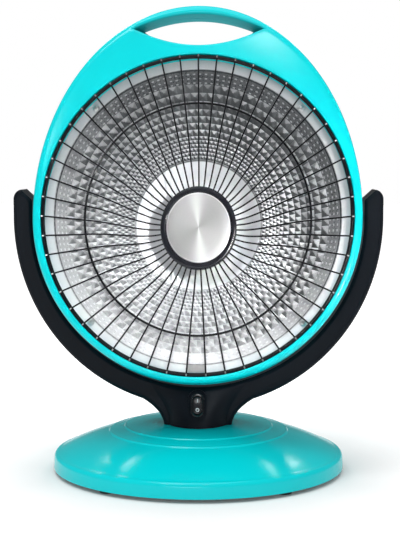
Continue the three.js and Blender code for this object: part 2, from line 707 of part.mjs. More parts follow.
function frontHousing() {
  const taper = -wallTaper;
  const outer = [
    row(1, 0),
    row(0, 0.06),
    row(0.5, 0.5),
    row(2, 0.84),
    row(5, 1),
    row(9, 1, taper * 0.3),
    row(BEZEL_DEPTH, 1, taper),
  ];
  const wall = SHELL_WALL;
  const inner = [
    row(BEZEL_DEPTH, 1, taper - wall),
    row(9, 1, taper * 0.3 - wall),
    row(4.6, 0.84, -wall * 0.4),
    row(3.2, 0.3, wall * 0.9),
    row(ledgeBack, 0, wall),
    row(ledgeBack, 0, -LEDGE_WIDTH),
    row(LEDGE_DEPTH, 0, -LEDGE_WIDTH),
    row(LEDGE_DEPTH, 0),
  ];
  const shell = solid(woven([...outer, ...inner, outer[0]], HOUSING_FACETS, housingPoint(bezelSizes)));
  const solidBezel = solid(woven(
    [row(1, 0, 0, 0), ...outer, row(BEZEL_DEPTH, 1, 0, 0)],
    HOUSING_FACETS,
    housingPoint(bezelSizes),
  ));
  const tunnel = gripLens(-1, BEZEL_DEPTH, wall).intersect(solidBezel);
  const bosses = housingScrewPlaces.map(([x, z]) => {
    return solid(rodY(BOSS_RADIUS, 2, BEZEL_DEPTH).translate(x, 0, z)).intersect(solidBezel);
  });
  const bores = housingScrewPlaces.map(([x, z]) => {
    return solid(rodY(SCREW_SHANK + BORE_PLAY, 6, BEZEL_DEPTH + 5).translate(x, 0, z));
  });
  return cut(join([shell, tunnel, ...bosses]), [gripLens(-5, FLANGE_DEPTH + 5, 0), ...bores]);
}

const reflectorScrewAngles = [45, 135, 225, 315];
const reflectorScrewPlaces = reflectorScrewAngles.map((degrees) => {
  const [x, z] = around(REFLECTOR_SCREW_RADIUS, degrees);
  return [x, z * faceRatio];
});

const shoulder = [8, 6.5]; // the bowl starts this far inside the flange, sideways and upwards
const rearSizes = {
  halfWidth: FACE_HALF_WIDTH + RIM_SIDE - wallTaper - shoulder[0],
  halfHeight: FACE_HALF_HEIGHT + RIM_CHIN - wallTaper - shoulder[1],
  eggHalfWidth: bezelSizes.eggHalfWidth - wallTaper,
  crown: bezelSizes.crown - wallTaper,
  chin: bezelSizes.chin - wallTaper,
};

const bossRoot = rearSizes.halfWidth - 8; // where the pivot bosses start inside the bowl

// The bowl's wall is a quarter of an oval from the flange to the flat back.
function bowlRows(offset) {
  const rows = [];
  const steps = 5;
  const backScale = BOWL_BACK_RADIUS / rearSizes.halfWidth;
  for (let i = 0; i <= steps; i += 1) {
    const angle = (i / steps) * (Math.PI / 2);
    const depth = FLANGE_DEPTH + BOWL_LENGTH * Math.sin(angle) + offset * Math.sin(angle);
    rows.push(row(depth, 0, offset * Math.cos(angle), backScale + (1 - backScale) * Math.cos(angle)));
  }
  return rows;
}

function rearHousing() {
  const wall = SHELL_WALL;
  const place = housingPoint(rearSizes);
  const facets = BOWL_FACETS;
  const skin = (offset, front) => [
    row(front, 0, 0, 0),
    row(front, 1, offset),
    row(FLANGE_DEPTH - 3 + offset, 1, -0.6 + offset),
    row(FLANGE_DEPTH + offset, 1, -3.4 + offset),
    ...bowlRows(offset),
    row(bowlEnd + offset, 0, 0, 0),
  ];
  const body = solid(woven(skin(0, partingDepth), facets, place));
  const hollow = solid(woven(skin(-wall, partingDepth - 5), facets, place));
  const tunnel = gripLens(partingDepth, FLANGE_DEPTH, wall);
  const reflectorPosts = reflectorScrewPlaces.map(([x, z]) => {
    return solid(rodY(BOSS_RADIUS, partingDepth, FLANGE_DEPTH + BOWL_LENGTH * 0.5).translate(x, 0, z));
  });
  const housingPosts = housingScrewPlaces.map(([x, z]) => {
    return solid(rodY(BOSS_RADIUS, partingDepth, FLANGE_DEPTH).translate(x, 0, z));
  });
  const pivotBosses = [-1, 1].map((side) => {
    const [from, to] = side < 0 ? [-bossEnd, -bossRoot] : [bossRoot, bossEnd];
    return solid(rodX(PIVOT_BOSS_RADIUS, from, to, 20).translate(0, FACE_FORWARD, FACE_DROP));
  });
  const ribs = join([tunnel, ...reflectorPosts, ...housingPosts]).intersect(body);
  const pivotReach = bossEnd + 1;
  const pivotBore = solid(rodX(PIVOT_PIN_RADIUS + BORE_PLAY, -pivotReach, pivotReach));
  const drill = (depth) => ([x, z]) => solid(rodY(SCREW_SHANK + BORE_PLAY, 0, depth).translate(x, 0, z));
  const bores = [
    pivotBore.translate([0, FACE_FORWARD, FACE_DROP]),
    ...reflectorScrewPlaces.map(drill(partingDepth + SCREW_LENGTH)),
    ...housingScrewPlaces.map(drill(FLANGE_DEPTH + 5)),
  ];
  const vents = [];
  for (let i = 0; i < VENT_COUNT; i += 1) {
    const [halfWidth, halfHeight] = VENT_SIZE.map((size) => size / 2);
    const z = (i - (VENT_COUNT - 1) / 2) * VENT_PITCH;
    const corners = [[-halfWidth, bowlEnd - 8, z - halfHeight], [halfWidth, bowlEnd + 5, z + halfHeight]];
    vents.push(solid(block(...corners)));
  }
  const whole = join([body.subtract(hollow), ribs, ...pivotBosses]);
  return cut(whole, [gripLens(-5, FLANGE_DEPTH + 5, 0), ...bores, ...vents]);
}

// ---------------------------------------------------------------- reflector and element

// Depth of the dish at a radius: a parabola from the cup's edge to the border.
function dishDepth(radius) {
  const t = (BORDER_RADIUS ** 2 - radius ** 2) / (BORDER_RADIUS ** 2 - CUP_RADIUS ** 2);
  return THREE.MathUtils.lerp(flangeFront, CUP_EDGE_DEPTH, t);
}

function reflector() {
  const coreHole = CORE_NECK_RADIUS + GAP;
  const flangeRadius = FACE_HALF_WIDTH - 1;
  const front = [[flangeRadius, flangeFront]];
  const steps = 4;
  for (let i = 0; i <= steps; i += 1) {
    const radius = THREE.MathUtils.lerp(BORDER_RADIUS, CUP_RADIUS, i / steps);
    front.push([radius, dishDepth(radius)]);
  }
  front.push(CUP_BEND);
  front.push([CUP_FLOOR_RADIUS, CUP_FLOOR_DEPTH]);
  front.push([coreHole, CUP_FLOOR_DEPTH]);
  const back = front.map(([radius, depth]) => [radius, depth + SHEET]).reverse();
  const dish = solid(turnedOval([...front, ...back, front[0]]));
  const holes = reflectorScrewPlaces.map(([x, z]) => {
    return solid(rodY(SCREW_SHANK + BORE_PLAY, 0, 2 * flangeFront).translate(x, 0, z));
  });
  return cut(dish, holes);
}

function elementCore() {
  const front = CUP_FLOOR_DEPTH - CORE_LENGTH;
  const back = CUP_FLOOR_DEPTH + SHEET + SOCKET_LENGTH / 2;
  return turnedOval([
    [0, front],
    [CORE_RADIUS - 2, front],
    [CORE_RADIUS, front + 2],
    [CORE_RADIUS, CUP_FLOOR_DEPTH - GAP],
    [CORE_NECK_RADIUS, CUP_FLOOR_DEPTH - GAP],
    [CORE_NECK_RADIUS, back],
    [0, back],
  ], ROUND / 2, 1);
}

// The wound wire as one sleeve with a wavy outside.
function elementCoil() {
  const front = CUP_FLOOR_DEPTH - CORE_LENGTH + 3;
  const length = CORE_LENGTH - 8;
  const waves = 3;
  const inner = CORE_RADIUS + GAP;
  const profile = [[inner, front + length], [inner, front]];
  for (let i = 0; i <= 2 * waves; i += 1) {
    const crest = i % 2 === 1 ? COIL_THICKNESS : COIL_THICKNESS * 0.55;
    profile.push([inner + crest, front + (length * i) / (2 * waves)]);
  }
  profile.push(profile[0]);
  return turnedOval(profile, ROUND / 2, 1);
}

function elementSocket() {
  const front = CUP_FLOOR_DEPTH + SHEET + GAP;
  const well = CORE_NECK_RADIUS + GAP;
  const wellEnd = CUP_FLOOR_DEPTH + SHEET + SOCKET_LENGTH / 2 + GAP;
  return turnedOval([
    [well, front],
    [SOCKET_RADIUS, front],
    [SOCKET_RADIUS, front + 3],
    [SOCKET_RADIUS - 4, front + 4],
    [SOCKET_RADIUS - 4, front + SOCKET_LENGTH],
    [0, front + SOCKET_LENGTH],
    [0, wellEnd],
    [well, wellEnd],
    [well, front],
  ], ROUND / 2, 1);
}

function thermalCutout() {
  const radius = (CUP_FLOOR_RADIUS - SOCKET_RADIUS) / 2 - 2;
  const seat = CUP_FLOOR_DEPTH + SHEET + GAP;
  const place = (CUP_FLOOR_RADIUS + SOCKET_RADIUS) / 2;
  return rodY(radius, seat, seat + 7, 16).translate(0, 0, place);
}

// ---------------------------------------------------------------- guard and cap

// Lowers the corners that lie near the hub's depth by the hub's drop.
function lowered(geometry) {
  const place = geometry.attributes.position;
  for (let i = 0; i < place.count; i += 1) {
    if (place.getY(i) > HUB_DEPTH - WIRE_RADIUS) {
      place.setZ(i, place.getZ(i) - HUB_DROP);
    }
  }
  return geometry;
}

// A wire bent in one plane: stations of [radius, depth] on a spoke, a small polygon round each.
function spoke(stations, angle) {
  const ends = [stations[0], stations[stations.length - 1]];
  const rows = [
    { at: ends[0], radius: 0 },
    ...stations.map((station) => ({ at: station, radius: WIRE_RADIUS })),
    { at: ends[1], radius: 0 },
  ];
  const rowAt = ({ at: [radius, depth], radius: r }, turn) => {
    const side = r * Math.cos(turn + Math.PI / 4);
    const lift = r * Math.sin(turn + Math.PI / 4);
    return new THREE.Vector3(radius + lift * 0.4, depth + lift, side);
  };
  return lowered(woven(rows, 4, rowAt).rotateY(angle).scale(1, 1, faceRatio));
}

const pitch = (2 * Math.PI) / WIRE_COUNT;

// A ring of wire round the face, with a facet's middle under each spoke.
function wireRing(radius, wire, depth) {
  const ring = new THREE.TorusGeometry(radius, wire, 4, WIRE_COUNT).rotateX(Math.PI / 2);
  return ring.rotateY((pitch - Math.PI) / 2).translate(0, depth, 0);
}

// A slice about the face's axis between two turns from straight up, less half a gap at each side.
function slice(from, to) {
  const middle = (from + to) / 2;
  const inset = GAP / 2 / Math.sin((to - from) / 2);
  const reach = 2 * FACE_HALF_WIDTH;
  const corners = [[0, middle], [reach, from], [reach, middle], [reach, to]].map(([radius, turn]) => {
    const x = radius * Math.sin(turn) + inset * Math.sin(middle);
    const z = radius * Math.cos(turn) + inset * Math.cos(middle);
    return new THREE.Vector2(x, z * faceRatio);
  });
  const depth = 2 * HUB_DEPTH;
  const wedge = new THREE.ExtrudeGeometry(new THREE.Shape(corners), { depth, bevelEnabled: false });
  return wedge.rotateX(Math.PI / 2).translate(0, depth - HUB_DEPTH / 2, 0);
}

// The guard is a basket that is dished inwards. Its spokes are welded to the outer ring and end at
// the hub plate. One sector is a stretch of the ring with its spokes.
function guardSector(sector) {
  const ringDepth = LEDGE_DEPTH - GAP - RING_WIRE_RADIUS;
  const overMiddle = MIDDLE_RING_DEPTH - MIDDLE_WIRE_RADIUS - GAP - WIRE_RADIUS;
  const hubWire = HUB_DEPTH + HUB_THICKNESS / 2;
  const stations = [
    [RING_RADIUS, ringDepth],
    [MIDDLE_RING_RADIUS, overMiddle],
    [HUB_RADIUS + 7, hubWire],
    [HUB_RADIUS + GAP, hubWire],
  ];
  const first = Math.round((sector * WIRE_COUNT) / GUARD_SECTORS);
  const end = Math.round(((sector + 1) * WIRE_COUNT) / GUARD_SECTORS);
  const stretch = solid(slice((first - 0.5) * pitch, (end - 0.5) * pitch));
  const wire = wireRing(RING_RADIUS, RING_WIRE_RADIUS, ringDepth).scale(1, 1, faceRatio);
  const ring = solid(wire).intersect(stretch);
  const wires = [];
  for (let i = first; i < end; i += 1) {
    wires.push(solid(spoke(stations, -Math.PI / 2 + i * pitch)));
  }
  return join([ring, ...wires]);
}

function guardHub() {
  const plate = solid(rodY(HUB_RADIUS, HUB_DEPTH, HUB_DEPTH + HUB_THICKNESS, ROUND));
  const studHole = solid(rodY(STUD_RADIUS * CAP_OVAL + GAP, HUB_DEPTH - 5, HUB_DEPTH + 5));
  return plate.scale([1, 1, faceRatio]).subtract(studHole);
}

// The second ring lies behind the spokes, halfway in.
function guardMiddleRing() {
  return wireRing(MIDDLE_RING_RADIUS, MIDDLE_WIRE_RADIUS, MIDDLE_RING_DEPTH).scale(1, 1, faceRatio);
}

const capBezelBack = HUB_DEPTH + HUB_THICKNESS / 2 - WIRE_RADIUS - GAP;
const capBezelFront = capBezelBack - CAP_BEZEL_DEPTH;
const capSeat = capBezelFront + 1 + CAP_THICKNESS + GAP;

function capBezel() {
  const pocket = CAP_RADIUS + GAP;
  return turnedOval([
    [0, capSeat],
    [pocket, capSeat],
    [pocket + 0.6, capBezelFront],
    [CAP_BEZEL_RADIUS - 2, capBezelFront],
    [CAP_BEZEL_RADIUS, capBezelFront + 2],
    [CAP_BEZEL_RADIUS, capBezelBack],
    [STUD_RADIUS, capBezelBack],
    [STUD_RADIUS, HUB_DEPTH + HUB_THICKNESS + 5],
    [0, HUB_DEPTH + HUB_THICKNESS + 5],
  ], ROUND, CAP_OVAL);
}

function centreCap() {
  const back = capSeat - GAP;
  return turnedOval([
    [0, back - CAP_THICKNESS - 0.6],
    [CAP_RADIUS * 0.6, back - CAP_THICKNESS - 0.4],
    [CAP_RADIUS, back - CAP_THICKNESS],
    [CAP_RADIUS, back],
    [0, back],
  ], ROUND, CAP_OVAL);
}

function capNut() {
  const front = HUB_DEPTH + HUB_THICKNESS + GAP;
  const nut = solid(rodY(4, front, front + 3, 6));
  return cut(nut, [solid(rodY(STUD_RADIUS * CAP_OVAL + GAP, front - 1, front + 5))]);
}

// A small plate under the guard ring at the foot of the face.
function guardClip() {
  const z = -REFLECTOR_SCREW_RADIUS * faceRatio;
  const back = flangeFront - GAP;
  const [halfWidth, halfHeight] = CLIP_SIZE.map((size) => size / 2);
  return block([-halfWidth, back - SHEET, z - halfHeight], [halfWidth, back, z + halfHeight]);
}

// ---------------------------------------------------------------- pivots

function pivotPin() {
  const head = bossRoot - GAP;
  const end = nutSeat + NUT_HEIGHT + 2.6;
  const pin = turned([
    [0, head - PIVOT_FLANGE],
    [PIVOT_FLANGE_RADIUS, head - PIVOT_FLANGE],
    [PIVOT_FLANGE_RADIUS, head],
    [PIVOT_PIN_RADIUS, head],
    [PIVOT_PIN_RADIUS, end],
    [0, end],
  ], SMALL_ROUND);
  return pin.rotateY(Math.PI / 2);
}

function collarX(inner, outer, from, to) {
  const section = [[inner, from], [outer, from], [outer, to], [inner, to], [inner, from]];
  return turned(section, SMALL_ROUND).rotateY(Math.PI / 2);
}

function pivotWasher() {
  const bore = PIVOT_PIN_RADIUS + BORE_PLAY;
  return collarX(bore, PIVOT_BOSS_RADIUS, bossEnd + GAP, bossEnd + GAP + WASHER_THICKNESS);
}

function pivotNut() {
  return collarX(PIVOT_PIN_RADIUS + BORE_PLAY, PIVOT_FLANGE_RADIUS, nutSeat, nutSeat + NUT_HEIGHT);
}

// ---------------------------------------------------------------- assembly

function face() {
  const whole = group(
    piece('front_housing', frontHousing(), TEAL),
    piece('rear_housing', rearHousing(), TEAL),
    piece('reflector', reflector(), ALUMINIUM),
    piece('guard_middle_ring', guardMiddleRing(), GUARD_PAINT),
    piece('guard_clip', guardClip(), STEEL),
    piece('element_core', elementCore(), CERAMIC),
    piece('element_coil', elementCoil(), IRON),
    piece('element_socket', elementSocket(), CERAMIC),
    piece('thermal_cutout', thermalCutout(), BLACK),
  );
  const hub = group(
    piece('guard_hub', guardHub(), GUARD_PAINT),
    piece('cap_bezel', capBezel(), BLACK),
    piece('centre_cap', centreCap(), STEEL),
    piece('cap_nut', capNut(), STEEL),
  );
  whole.add(at(hub, 0, 0, -HUB_DROP));
  for (let i = 0; i < GUARD_SECTORS; i += 1) {
    whole.add(piece(`guard_sector_${i + 1}`, guardSector(i), GUARD_PAINT));
  }
  reflectorScrewPlaces.forEach(([x, z], i) => {
    const part = piece(`reflector_screw_${i + 1}`, screw().rotateX(-Math.PI / 2), STEEL);
    whole.add(at(part, x, flangeFront - GAP, z));
  });
  housingScrewPlaces.forEach(([x, z], i) => {
    const part = piece(`housing_screw_${i + 1}`, screw().rotateX(Math.PI / 2), STEEL);
    whole.add(at(part, x, FLANGE_DEPTH + GAP, z));
  });
  return at(whole, 0, -FACE_FORWARD, -FACE_DROP);
}

function head() {
  const whole = group(face());
  for (const [side, turn] of [['right', 0], ['left', Math.PI]]) {
    const fittings = group(piece(`pivot_pin_${side}`, pivotPin(), STEEL));
    fittings.rotation.z = turn;
    whole.add(fittings);
  }
  whole.rotation.x = -radians(HEAD_TILT);
  return at(whole, 0, 0, PIVOT_HEIGHT);
}

function yoke() {
  const [front, rear] = yokeShells();
  const whole = group(
    piece('yoke_front_shell', front, BLACK),
    piece('yoke_rear_shell', rear, BLACK),
    powerSwitch(),
  );
  for (const [side, turn] of [['right', 0], ['left', Math.PI]]) {
    const fittings = group(
      piece(`pivot_washer_${side}`, pivotWasher(), RUBBER),
      piece(`pivot_nut_${side}`, pivotNut(), STEEL),
    );
    fittings.rotation.z = turn;
    whole.add(at(fittings, 0, 0, PIVOT_HEIGHT));
  }
  return whole;
}

export default group(base(), yoke(), head());
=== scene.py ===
"""Looks of a parabolic room heater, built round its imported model.

Lengths in this file are millimetres until a piece's mesh is made. The head's pieces are drawn in
the frame of the face: x to the right, depth to the back, z up, and turned into place afterwards.
"""

import json
import math

import bmesh
import bpy
import numpy as np
from bpy.props import FloatProperty, FloatVectorProperty, IntProperty, PointerProperty
from bpy.types import Operator, Panel, PropertyGroup
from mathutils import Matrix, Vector


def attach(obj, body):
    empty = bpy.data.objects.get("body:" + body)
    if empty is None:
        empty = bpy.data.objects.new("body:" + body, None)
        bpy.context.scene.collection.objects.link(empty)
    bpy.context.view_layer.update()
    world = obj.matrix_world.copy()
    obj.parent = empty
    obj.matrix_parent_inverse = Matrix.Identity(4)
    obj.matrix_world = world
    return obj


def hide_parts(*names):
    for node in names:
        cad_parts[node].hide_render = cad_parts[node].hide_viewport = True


bl_info = {
    "name": "Parabolic heater",
    "version": (1, 0, 0),
    "blender": (4, 5, 0),
    "location": "3D View > Sidebar > Heater",
    "description": "Builds the visible pieces, finishes and stage of a parabolic heater",
    "category": "Object",
}

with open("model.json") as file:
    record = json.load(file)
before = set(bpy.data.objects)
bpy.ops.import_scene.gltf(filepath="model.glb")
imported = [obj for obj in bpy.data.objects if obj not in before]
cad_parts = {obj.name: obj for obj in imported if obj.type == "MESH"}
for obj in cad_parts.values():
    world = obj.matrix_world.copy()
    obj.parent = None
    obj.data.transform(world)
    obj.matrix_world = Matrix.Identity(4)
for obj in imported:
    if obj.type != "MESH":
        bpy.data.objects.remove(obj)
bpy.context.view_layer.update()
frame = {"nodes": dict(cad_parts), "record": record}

MM = 0.001
GAP = 0.3

# base
BASE_RADIUS = 151.0
BASE_BOTTOM = 4.0
BASE_WALL_TOP = 20.0
RIM_ROUND = 5.0
DOME_RISE = 27.5
DOME_FULLNESS = 0.75
STEP_RADII = (94.0, 78.0)
PLATEAU_RADIUS = 50.0
PLATEAU = 49.5
SHELL_WALL = 2.4
FOOT_CIRCLE = 138.0
FOOT_ANGLE = 51.5
FOOT_RADIUS = 7.5
PLATE_BOTTOM = 6.5
BASE_SCREW_CIRCLE = 122.0
BASE_SCREW_ANGLE = 20.0
INLET = (15.0, 11.0, 11.0)

# yoke
PIVOT_HEIGHT = 263.0
YOKE_OUTER = (188.8, 195.4)
YOKE_INNER = (169.5, 173.5)
YOKE_HALF_DEPTH = 24.0
TIP_TOP = 292.0
TIP_INNER = 284.0
NECK_FOOT = 49.8
NECK_HALF_WIDTH = 34.8
NECK_DEPTHS = (45.0, 31.0)
NECK_BLEND = 57.0
COLUMN_SPREAD = 38.0
COLUMN_POWER = 2.2
SWITCH_HEIGHT = 72.5
SWITCH_LEAN = 20.0
SWITCH_FRONT = 36.934
POCKET_SIZE = (19.0, 33.0)
SWITCH_SIZE = (13.0, 25.0)
ROCKER_SIZE = (8.6, 17.0)
POCKET_DEPTH = 1.6

# head
HEAD_TILT = 16.0
FACE_PLACE = (0.0, -48.0, -5.4)
FACE = (157.6, 166.5)
OVAL = FACE[1] / FACE[0]
CROWN = 220.6
CHIN = 172.0
RIM = (FACE[0] + 8.2, CROWN, CHIN)
RIM_DEPTH = 5.9
PARTING = 16.0
FLANGE_BACK = 26.0
WALL_TAPER = 3.3
LEDGE_WIDTH = 3.4
LEDGE_FRONT = 5.4
LEDGE_BACK = 11.0
BOWL_SIZE = (154.5, 162.7)
BOWL_LENGTH = 100.0
BOWL_BACK = 66.0
GRIP_FRONT = {"span": 67.0, "tip": 28.0, "up": 16.4, "down": 18.0}
GRIP_BACK = {"span": 57.0, "tip": 33.0, "up": 11.9, "down": 21.0}
VENTS = (6, 64.0, 4.0, 10.0)

# reflector
FLANGE_FRONT = 11.3
FLANGE_RADIUS = 156.6
BORDER_RADIUS = 145.3
CUP_RADIUS = 65.0
CUP_EDGE_DEPTH = 58.0
CUP_FLOOR_DEPTH = 92.0
CUP_FLOOR_RADIUS = 36.0
CORE_HOLE = 10.3
REFLECTOR_SCREW_RADIUS = 148.6
SHEET = 1.0
# painted light on the reflector: facets turned this way are painted brightest
FACET_LIGHT_AIM = (0.24, -0.36, 0.9)

# guard and cap
RING_RADIUS = 155.3
RING_WIRE = 2.0
RING_DEPTH = 3.1
MIDDLE_RING = 115.5
MIDDLE_RING_DEPTH = 26.6
MIDDLE_WIRE = 1.2
HUB_RADIUS = 36.5
HUB_DEPTH = 57.2
HUB_DROP = 4.5
HUB_BACK = 58.8
GUARD_SECTORS = 6
RING_COLUMNS = 204
CAP_RADIUS = 33.5
CAP_OVAL = 1.12
BEZEL_RADIUS = 39.8
BEZEL_FRONT = 50.8
BEZEL_BACK = 56.8

# the photographed view
CAMERA_AZIMUTH = 1.5
CAMERA_YAW = 0.07
CAMERA_DISTANCE = 1.35
CAMERA_HEIGHT = 0.317
CAMERA_PITCH = 4.46
CAMERA_LENS = 87.94

# light: the background's strength for soft light and for reflections, then lamps with their
# place, aim, width and height in metres, their share of the key lamp's power and their spread
SOFT_LIGHT = 0.66
REFLECTED_LIGHT = 0.16
FLOOR_LIFT = (0.04, 0.6)
FLOOR_REACH = 9000.0
LAMPS = (
    ("key_lamp", (-0.5, -0.75, 1.9), (0.0, 0.0, 0.25), 0.7, 0.5, 1.0, 180.0),
    ("top_lamp", (0.0, -0.1, 1.7), (0.0, 0.0, 0.0), 1.1, 1.1, 0.8, 180.0),
    ("front_lamp", (-0.25, -1.7, 0.12), (0.0, 0.0, 0.3), 0.8, 0.2, 0.4, 180.0),
    ("dish_lamp", (0.85, -1.6, 0.75), (0.0, 0.0, 0.245), 0.12, 0.12, 0.036, 11.0),
    ("strip_left", (-0.52, 0.95, 1.2), (-0.1, 0.0, 0.1), 0.16, 0.5, 0.3, 180.0),
    ("strip_right", (0.52, 0.95, 1.2), (0.1, 0.0, 0.1), 0.16, 0.5, 0.3, 180.0),
    ("window_lamp", (0.13, -0.98, 1.31), (0.08, 0.0, 0.45), 0.1, 0.12, 0.12, 180.0),
    ("glint_lamp", (-0.45, -1.0, 1.05), (-0.13, 0.0, 0.38), 0.05, 0.05, 0.04, 180.0),
)


# frames and meshes


def face_to_world(points):
    """Moves points from the face's frame to the row frame: they are shifted to the pivot's frame,
    turned back about X by the head's tilt, and raised by the pivot's height."""
    x, y, z = np.moveaxis(np.asarray(points, float) + FACE_PLACE, -1, 0)
    c, s = math.cos(math.radians(HEAD_TILT)), math.sin(math.radians(HEAD_TILT))
    return np.stack([x, y * c + z * s, z * c - y * s + PIVOT_HEIGHT], -1)


def switch_to_world(points):
    """Moves points from the switch's frame, whose front leans back about X, onto the neck."""
    x, y, z = np.moveaxis(np.asarray(points, float), -1, 0)
    c, s = math.cos(math.radians(SWITCH_LEAN)), math.sin(math.radians(SWITCH_LEAN))
    return np.stack([x, y * c + z * s - SWITCH_FRONT, z * c - y * s + SWITCH_HEIGHT], -1)


def as_is(points):
    return np.asarray(points, float)


def grid_faces(rows, columns, round_rows, round_columns):
    """Quads between neighbouring rows and columns of a grid, closed round where asked."""
    r = np.arange(rows if round_rows else rows - 1)[:, None]
    c = np.arange(columns if round_columns else columns - 1)[None, :]
    r2, c2 = (r + 1) % rows, (c + 1) % columns
    corners = [r * columns + c, r * columns + c2, r2 * columns + c2, r2 * columns + c]
    return np.stack([corner + 0 * (r + c) for corner in corners], -1).reshape(-1, 4)


def mesh_from(name, grids, place, sharp=32.0):
    """A mesh from grids of (points, closed round rows, closed round columns). Equal points are
    welded, faces turned outwards, and edges sharper than the angle stay sharp."""
    points, faces, start = [], [], 0
    for grid, round_rows, round_columns in grids:
        rows, columns = grid.shape[:2]
        points.append(place(grid.reshape(-1, 3)) * MM)
        faces.append(grid_faces(rows, columns, round_rows, round_columns) + start)
        start += rows * columns
    mesh = bpy.data.meshes.new(name)
    mesh.from_pydata(np.concatenate(points).tolist(), [], np.concatenate(faces).tolist())
    shape = bmesh.new()
    shape.from_mesh(mesh)
    bmesh.ops.remove_doubles(shape, verts=shape.verts, dist=2e-6)
    bmesh.ops.dissolve_degenerate(shape, edges=shape.edges, dist=1e-7)
    bmesh.ops.recalc_face_normals(shape, faces=shape.faces)
    shape.to_mesh(mesh)
    shape.free()
    mesh.shade_smooth()
    mesh.set_sharp_from_angle(angle=math.radians(sharp))
    return mesh


def piece(name, grids, body, slot, stands_for, place=as_is, sharp=32.0, cutters=()):
    """A visible piece that rides on a body, stands for CAD nodes and takes its slot's finish."""
    made = bpy.data.objects.new(name, mesh_from(name, grids, place, sharp))
    bpy.context.scene.collection.objects.link(made)
    for tool_grids in cutters:
        carve(made, tool_grids, place, sharp)
    made.data.materials.clear()
    made.data.materials.append(finish(slot))
    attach(made, body)
    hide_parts(*stands_for)


def head_piece(name, grids, slot, stands_for, **more):
    """A piece of the head, drawn in the face's frame."""
    piece(name, grids, "head", slot, stands_for, place=face_to_world, **more)


def carve(made, tool_grids, place, sharp):
    """Takes a closed tool's volume out of a piece."""
    tool = bpy.data.objects.new("tool", mesh_from("tool", tool_grids, place))
    bpy.context.scene.collection.objects.link(tool)
    cut = made.modifiers.new("cut", "BOOLEAN")
    cut.object, cut.operation, cut.solver = tool, "DIFFERENCE", "EXACT"
    bpy.context.view_layer.update()
    carved = bpy.data.meshes.new_from_object(made.evaluated_get(bpy.context.evaluated_depsgraph_get()))
    made.modifiers.clear()
    made.data = carved
    bpy.data.objects.remove(tool)
    carved.shade_smooth()
    carved.set_sharp_from_angle(angle=math.radians(sharp))


def polyline(*parts):
    return np.concatenate([np.asarray(part, float).reshape(-1, 2) for part in parts])


def arc(middle, radii, start, end, count):
    """Points on an ellipse's arc, from one angle to another in degrees."""
    angle = np.radians(np.linspace(start, end, count))
    return np.stack([middle[0] + radii[0] * np.cos(angle), middle[1] + radii[1] * np.sin(angle)], -1)


def turned(profile, count, axis="Z", ratio=1.0, shift=(0.0, 0.0, 0.0), full=True):
    """A surface of revolution: each [radius, station] of the profile goes round the axis, the
    vertical half stretched by the ratio where the axis is Y."""
    profile = np.asarray(profile, float)
    angle = np.linspace(0, 2 * np.pi, count, endpoint=False)
    radius, station = profile[:, 0][:, None], profile[:, 1][:, None] + 0 * angle
    u, v = radius * np.cos(angle), radius * np.sin(angle)
    stacked = {"Z": (u, v, station), "Y": (u, station, v * ratio), "X": (station, u, v)}[axis]
    return np.stack(stacked, -1) + np.asarray(shift, float), full, True


def box_grid(low, high):
    """A closed box as a square tube of four columns with its ends drawn to points."""
    (x0, y0, z0), (x1, y1, z1) = low, high
    ring = np.array([(x0, y0), (x1, y0), (x1, y1), (x0, y1)])
    middle = np.array([((x0 + x1) / 2, (y0 + y1) / 2)] * 4)
    rows = [(middle, z0), (ring, z0), (ring, z1), (middle, z1)]
    points = np.array([[(x, y, z) for x, y in corners] for corners, z in rows])
    return points, False, True


def tube(path, radius, sides, closed=False):
    """A round tube along a path: at each point a circle stands across the path's direction, its
    first axis kept as close as possible to the depth axis."""
    path = np.asarray(path, float)
    if closed:
        along = np.roll(path, -1, 0) - np.roll(path, 1, 0)
    else:
        along = np.gradient(path, axis=0)
    along /= np.linalg.norm(along, axis=1, keepdims=True)
    lead = np.array([0.0, 1.0, 0.0]) - along * along[:, 1:2]
    lead /= np.linalg.norm(lead, axis=1, keepdims=True)
    side = np.cross(along, lead)
    angle = np.linspace(0, 2 * np.pi, sides, endpoint=False)
    radius = np.broadcast_to(np.asarray(radius, float).reshape(-1, 1, 1), (len(path), 1, 1))
    circle = lead[:, None] * np.cos(angle)[:, None] + side[:, None] * np.sin(angle)[:, None]
    rings = path[:, None] + circle * radius
    if closed:
        return rings, True, True
    ends = [np.repeat(path[i][None, None], sides, 1) for i in (0, -1)]
    return np.concatenate([ends[0], rings, ends[1]]), False, True


def slot_rings(rows, count):
    """Rings of an upright slot. Each row gives its half width, its depth, and how far its upper and
    lower half circles lie from the middle."""
    angle = np.linspace(0, 2 * np.pi, count, endpoint=False)
    side = np.where(np.sin(angle) >= 0, 1.0, -1.0)
    reach, depth, straight = np.array(rows).T[:, :, None]
    across = reach * np.cos(angle)
    return np.stack([across, depth + 0 * across, reach * np.sin(angle) + side * straight], -1)


def slot_prism(size, front, back):
    """A closed upright slot's prism, from one depth to another, on the neck."""
    half = size[0] / 2
    straight = size[1] / 2 - half
    rows = [(0, front, 0), (half, front, straight), (half, back, straight), (0, back, 0)]
    return [(switch_to_world(slot_rings(rows, 64)), False, True)]


# shader maths


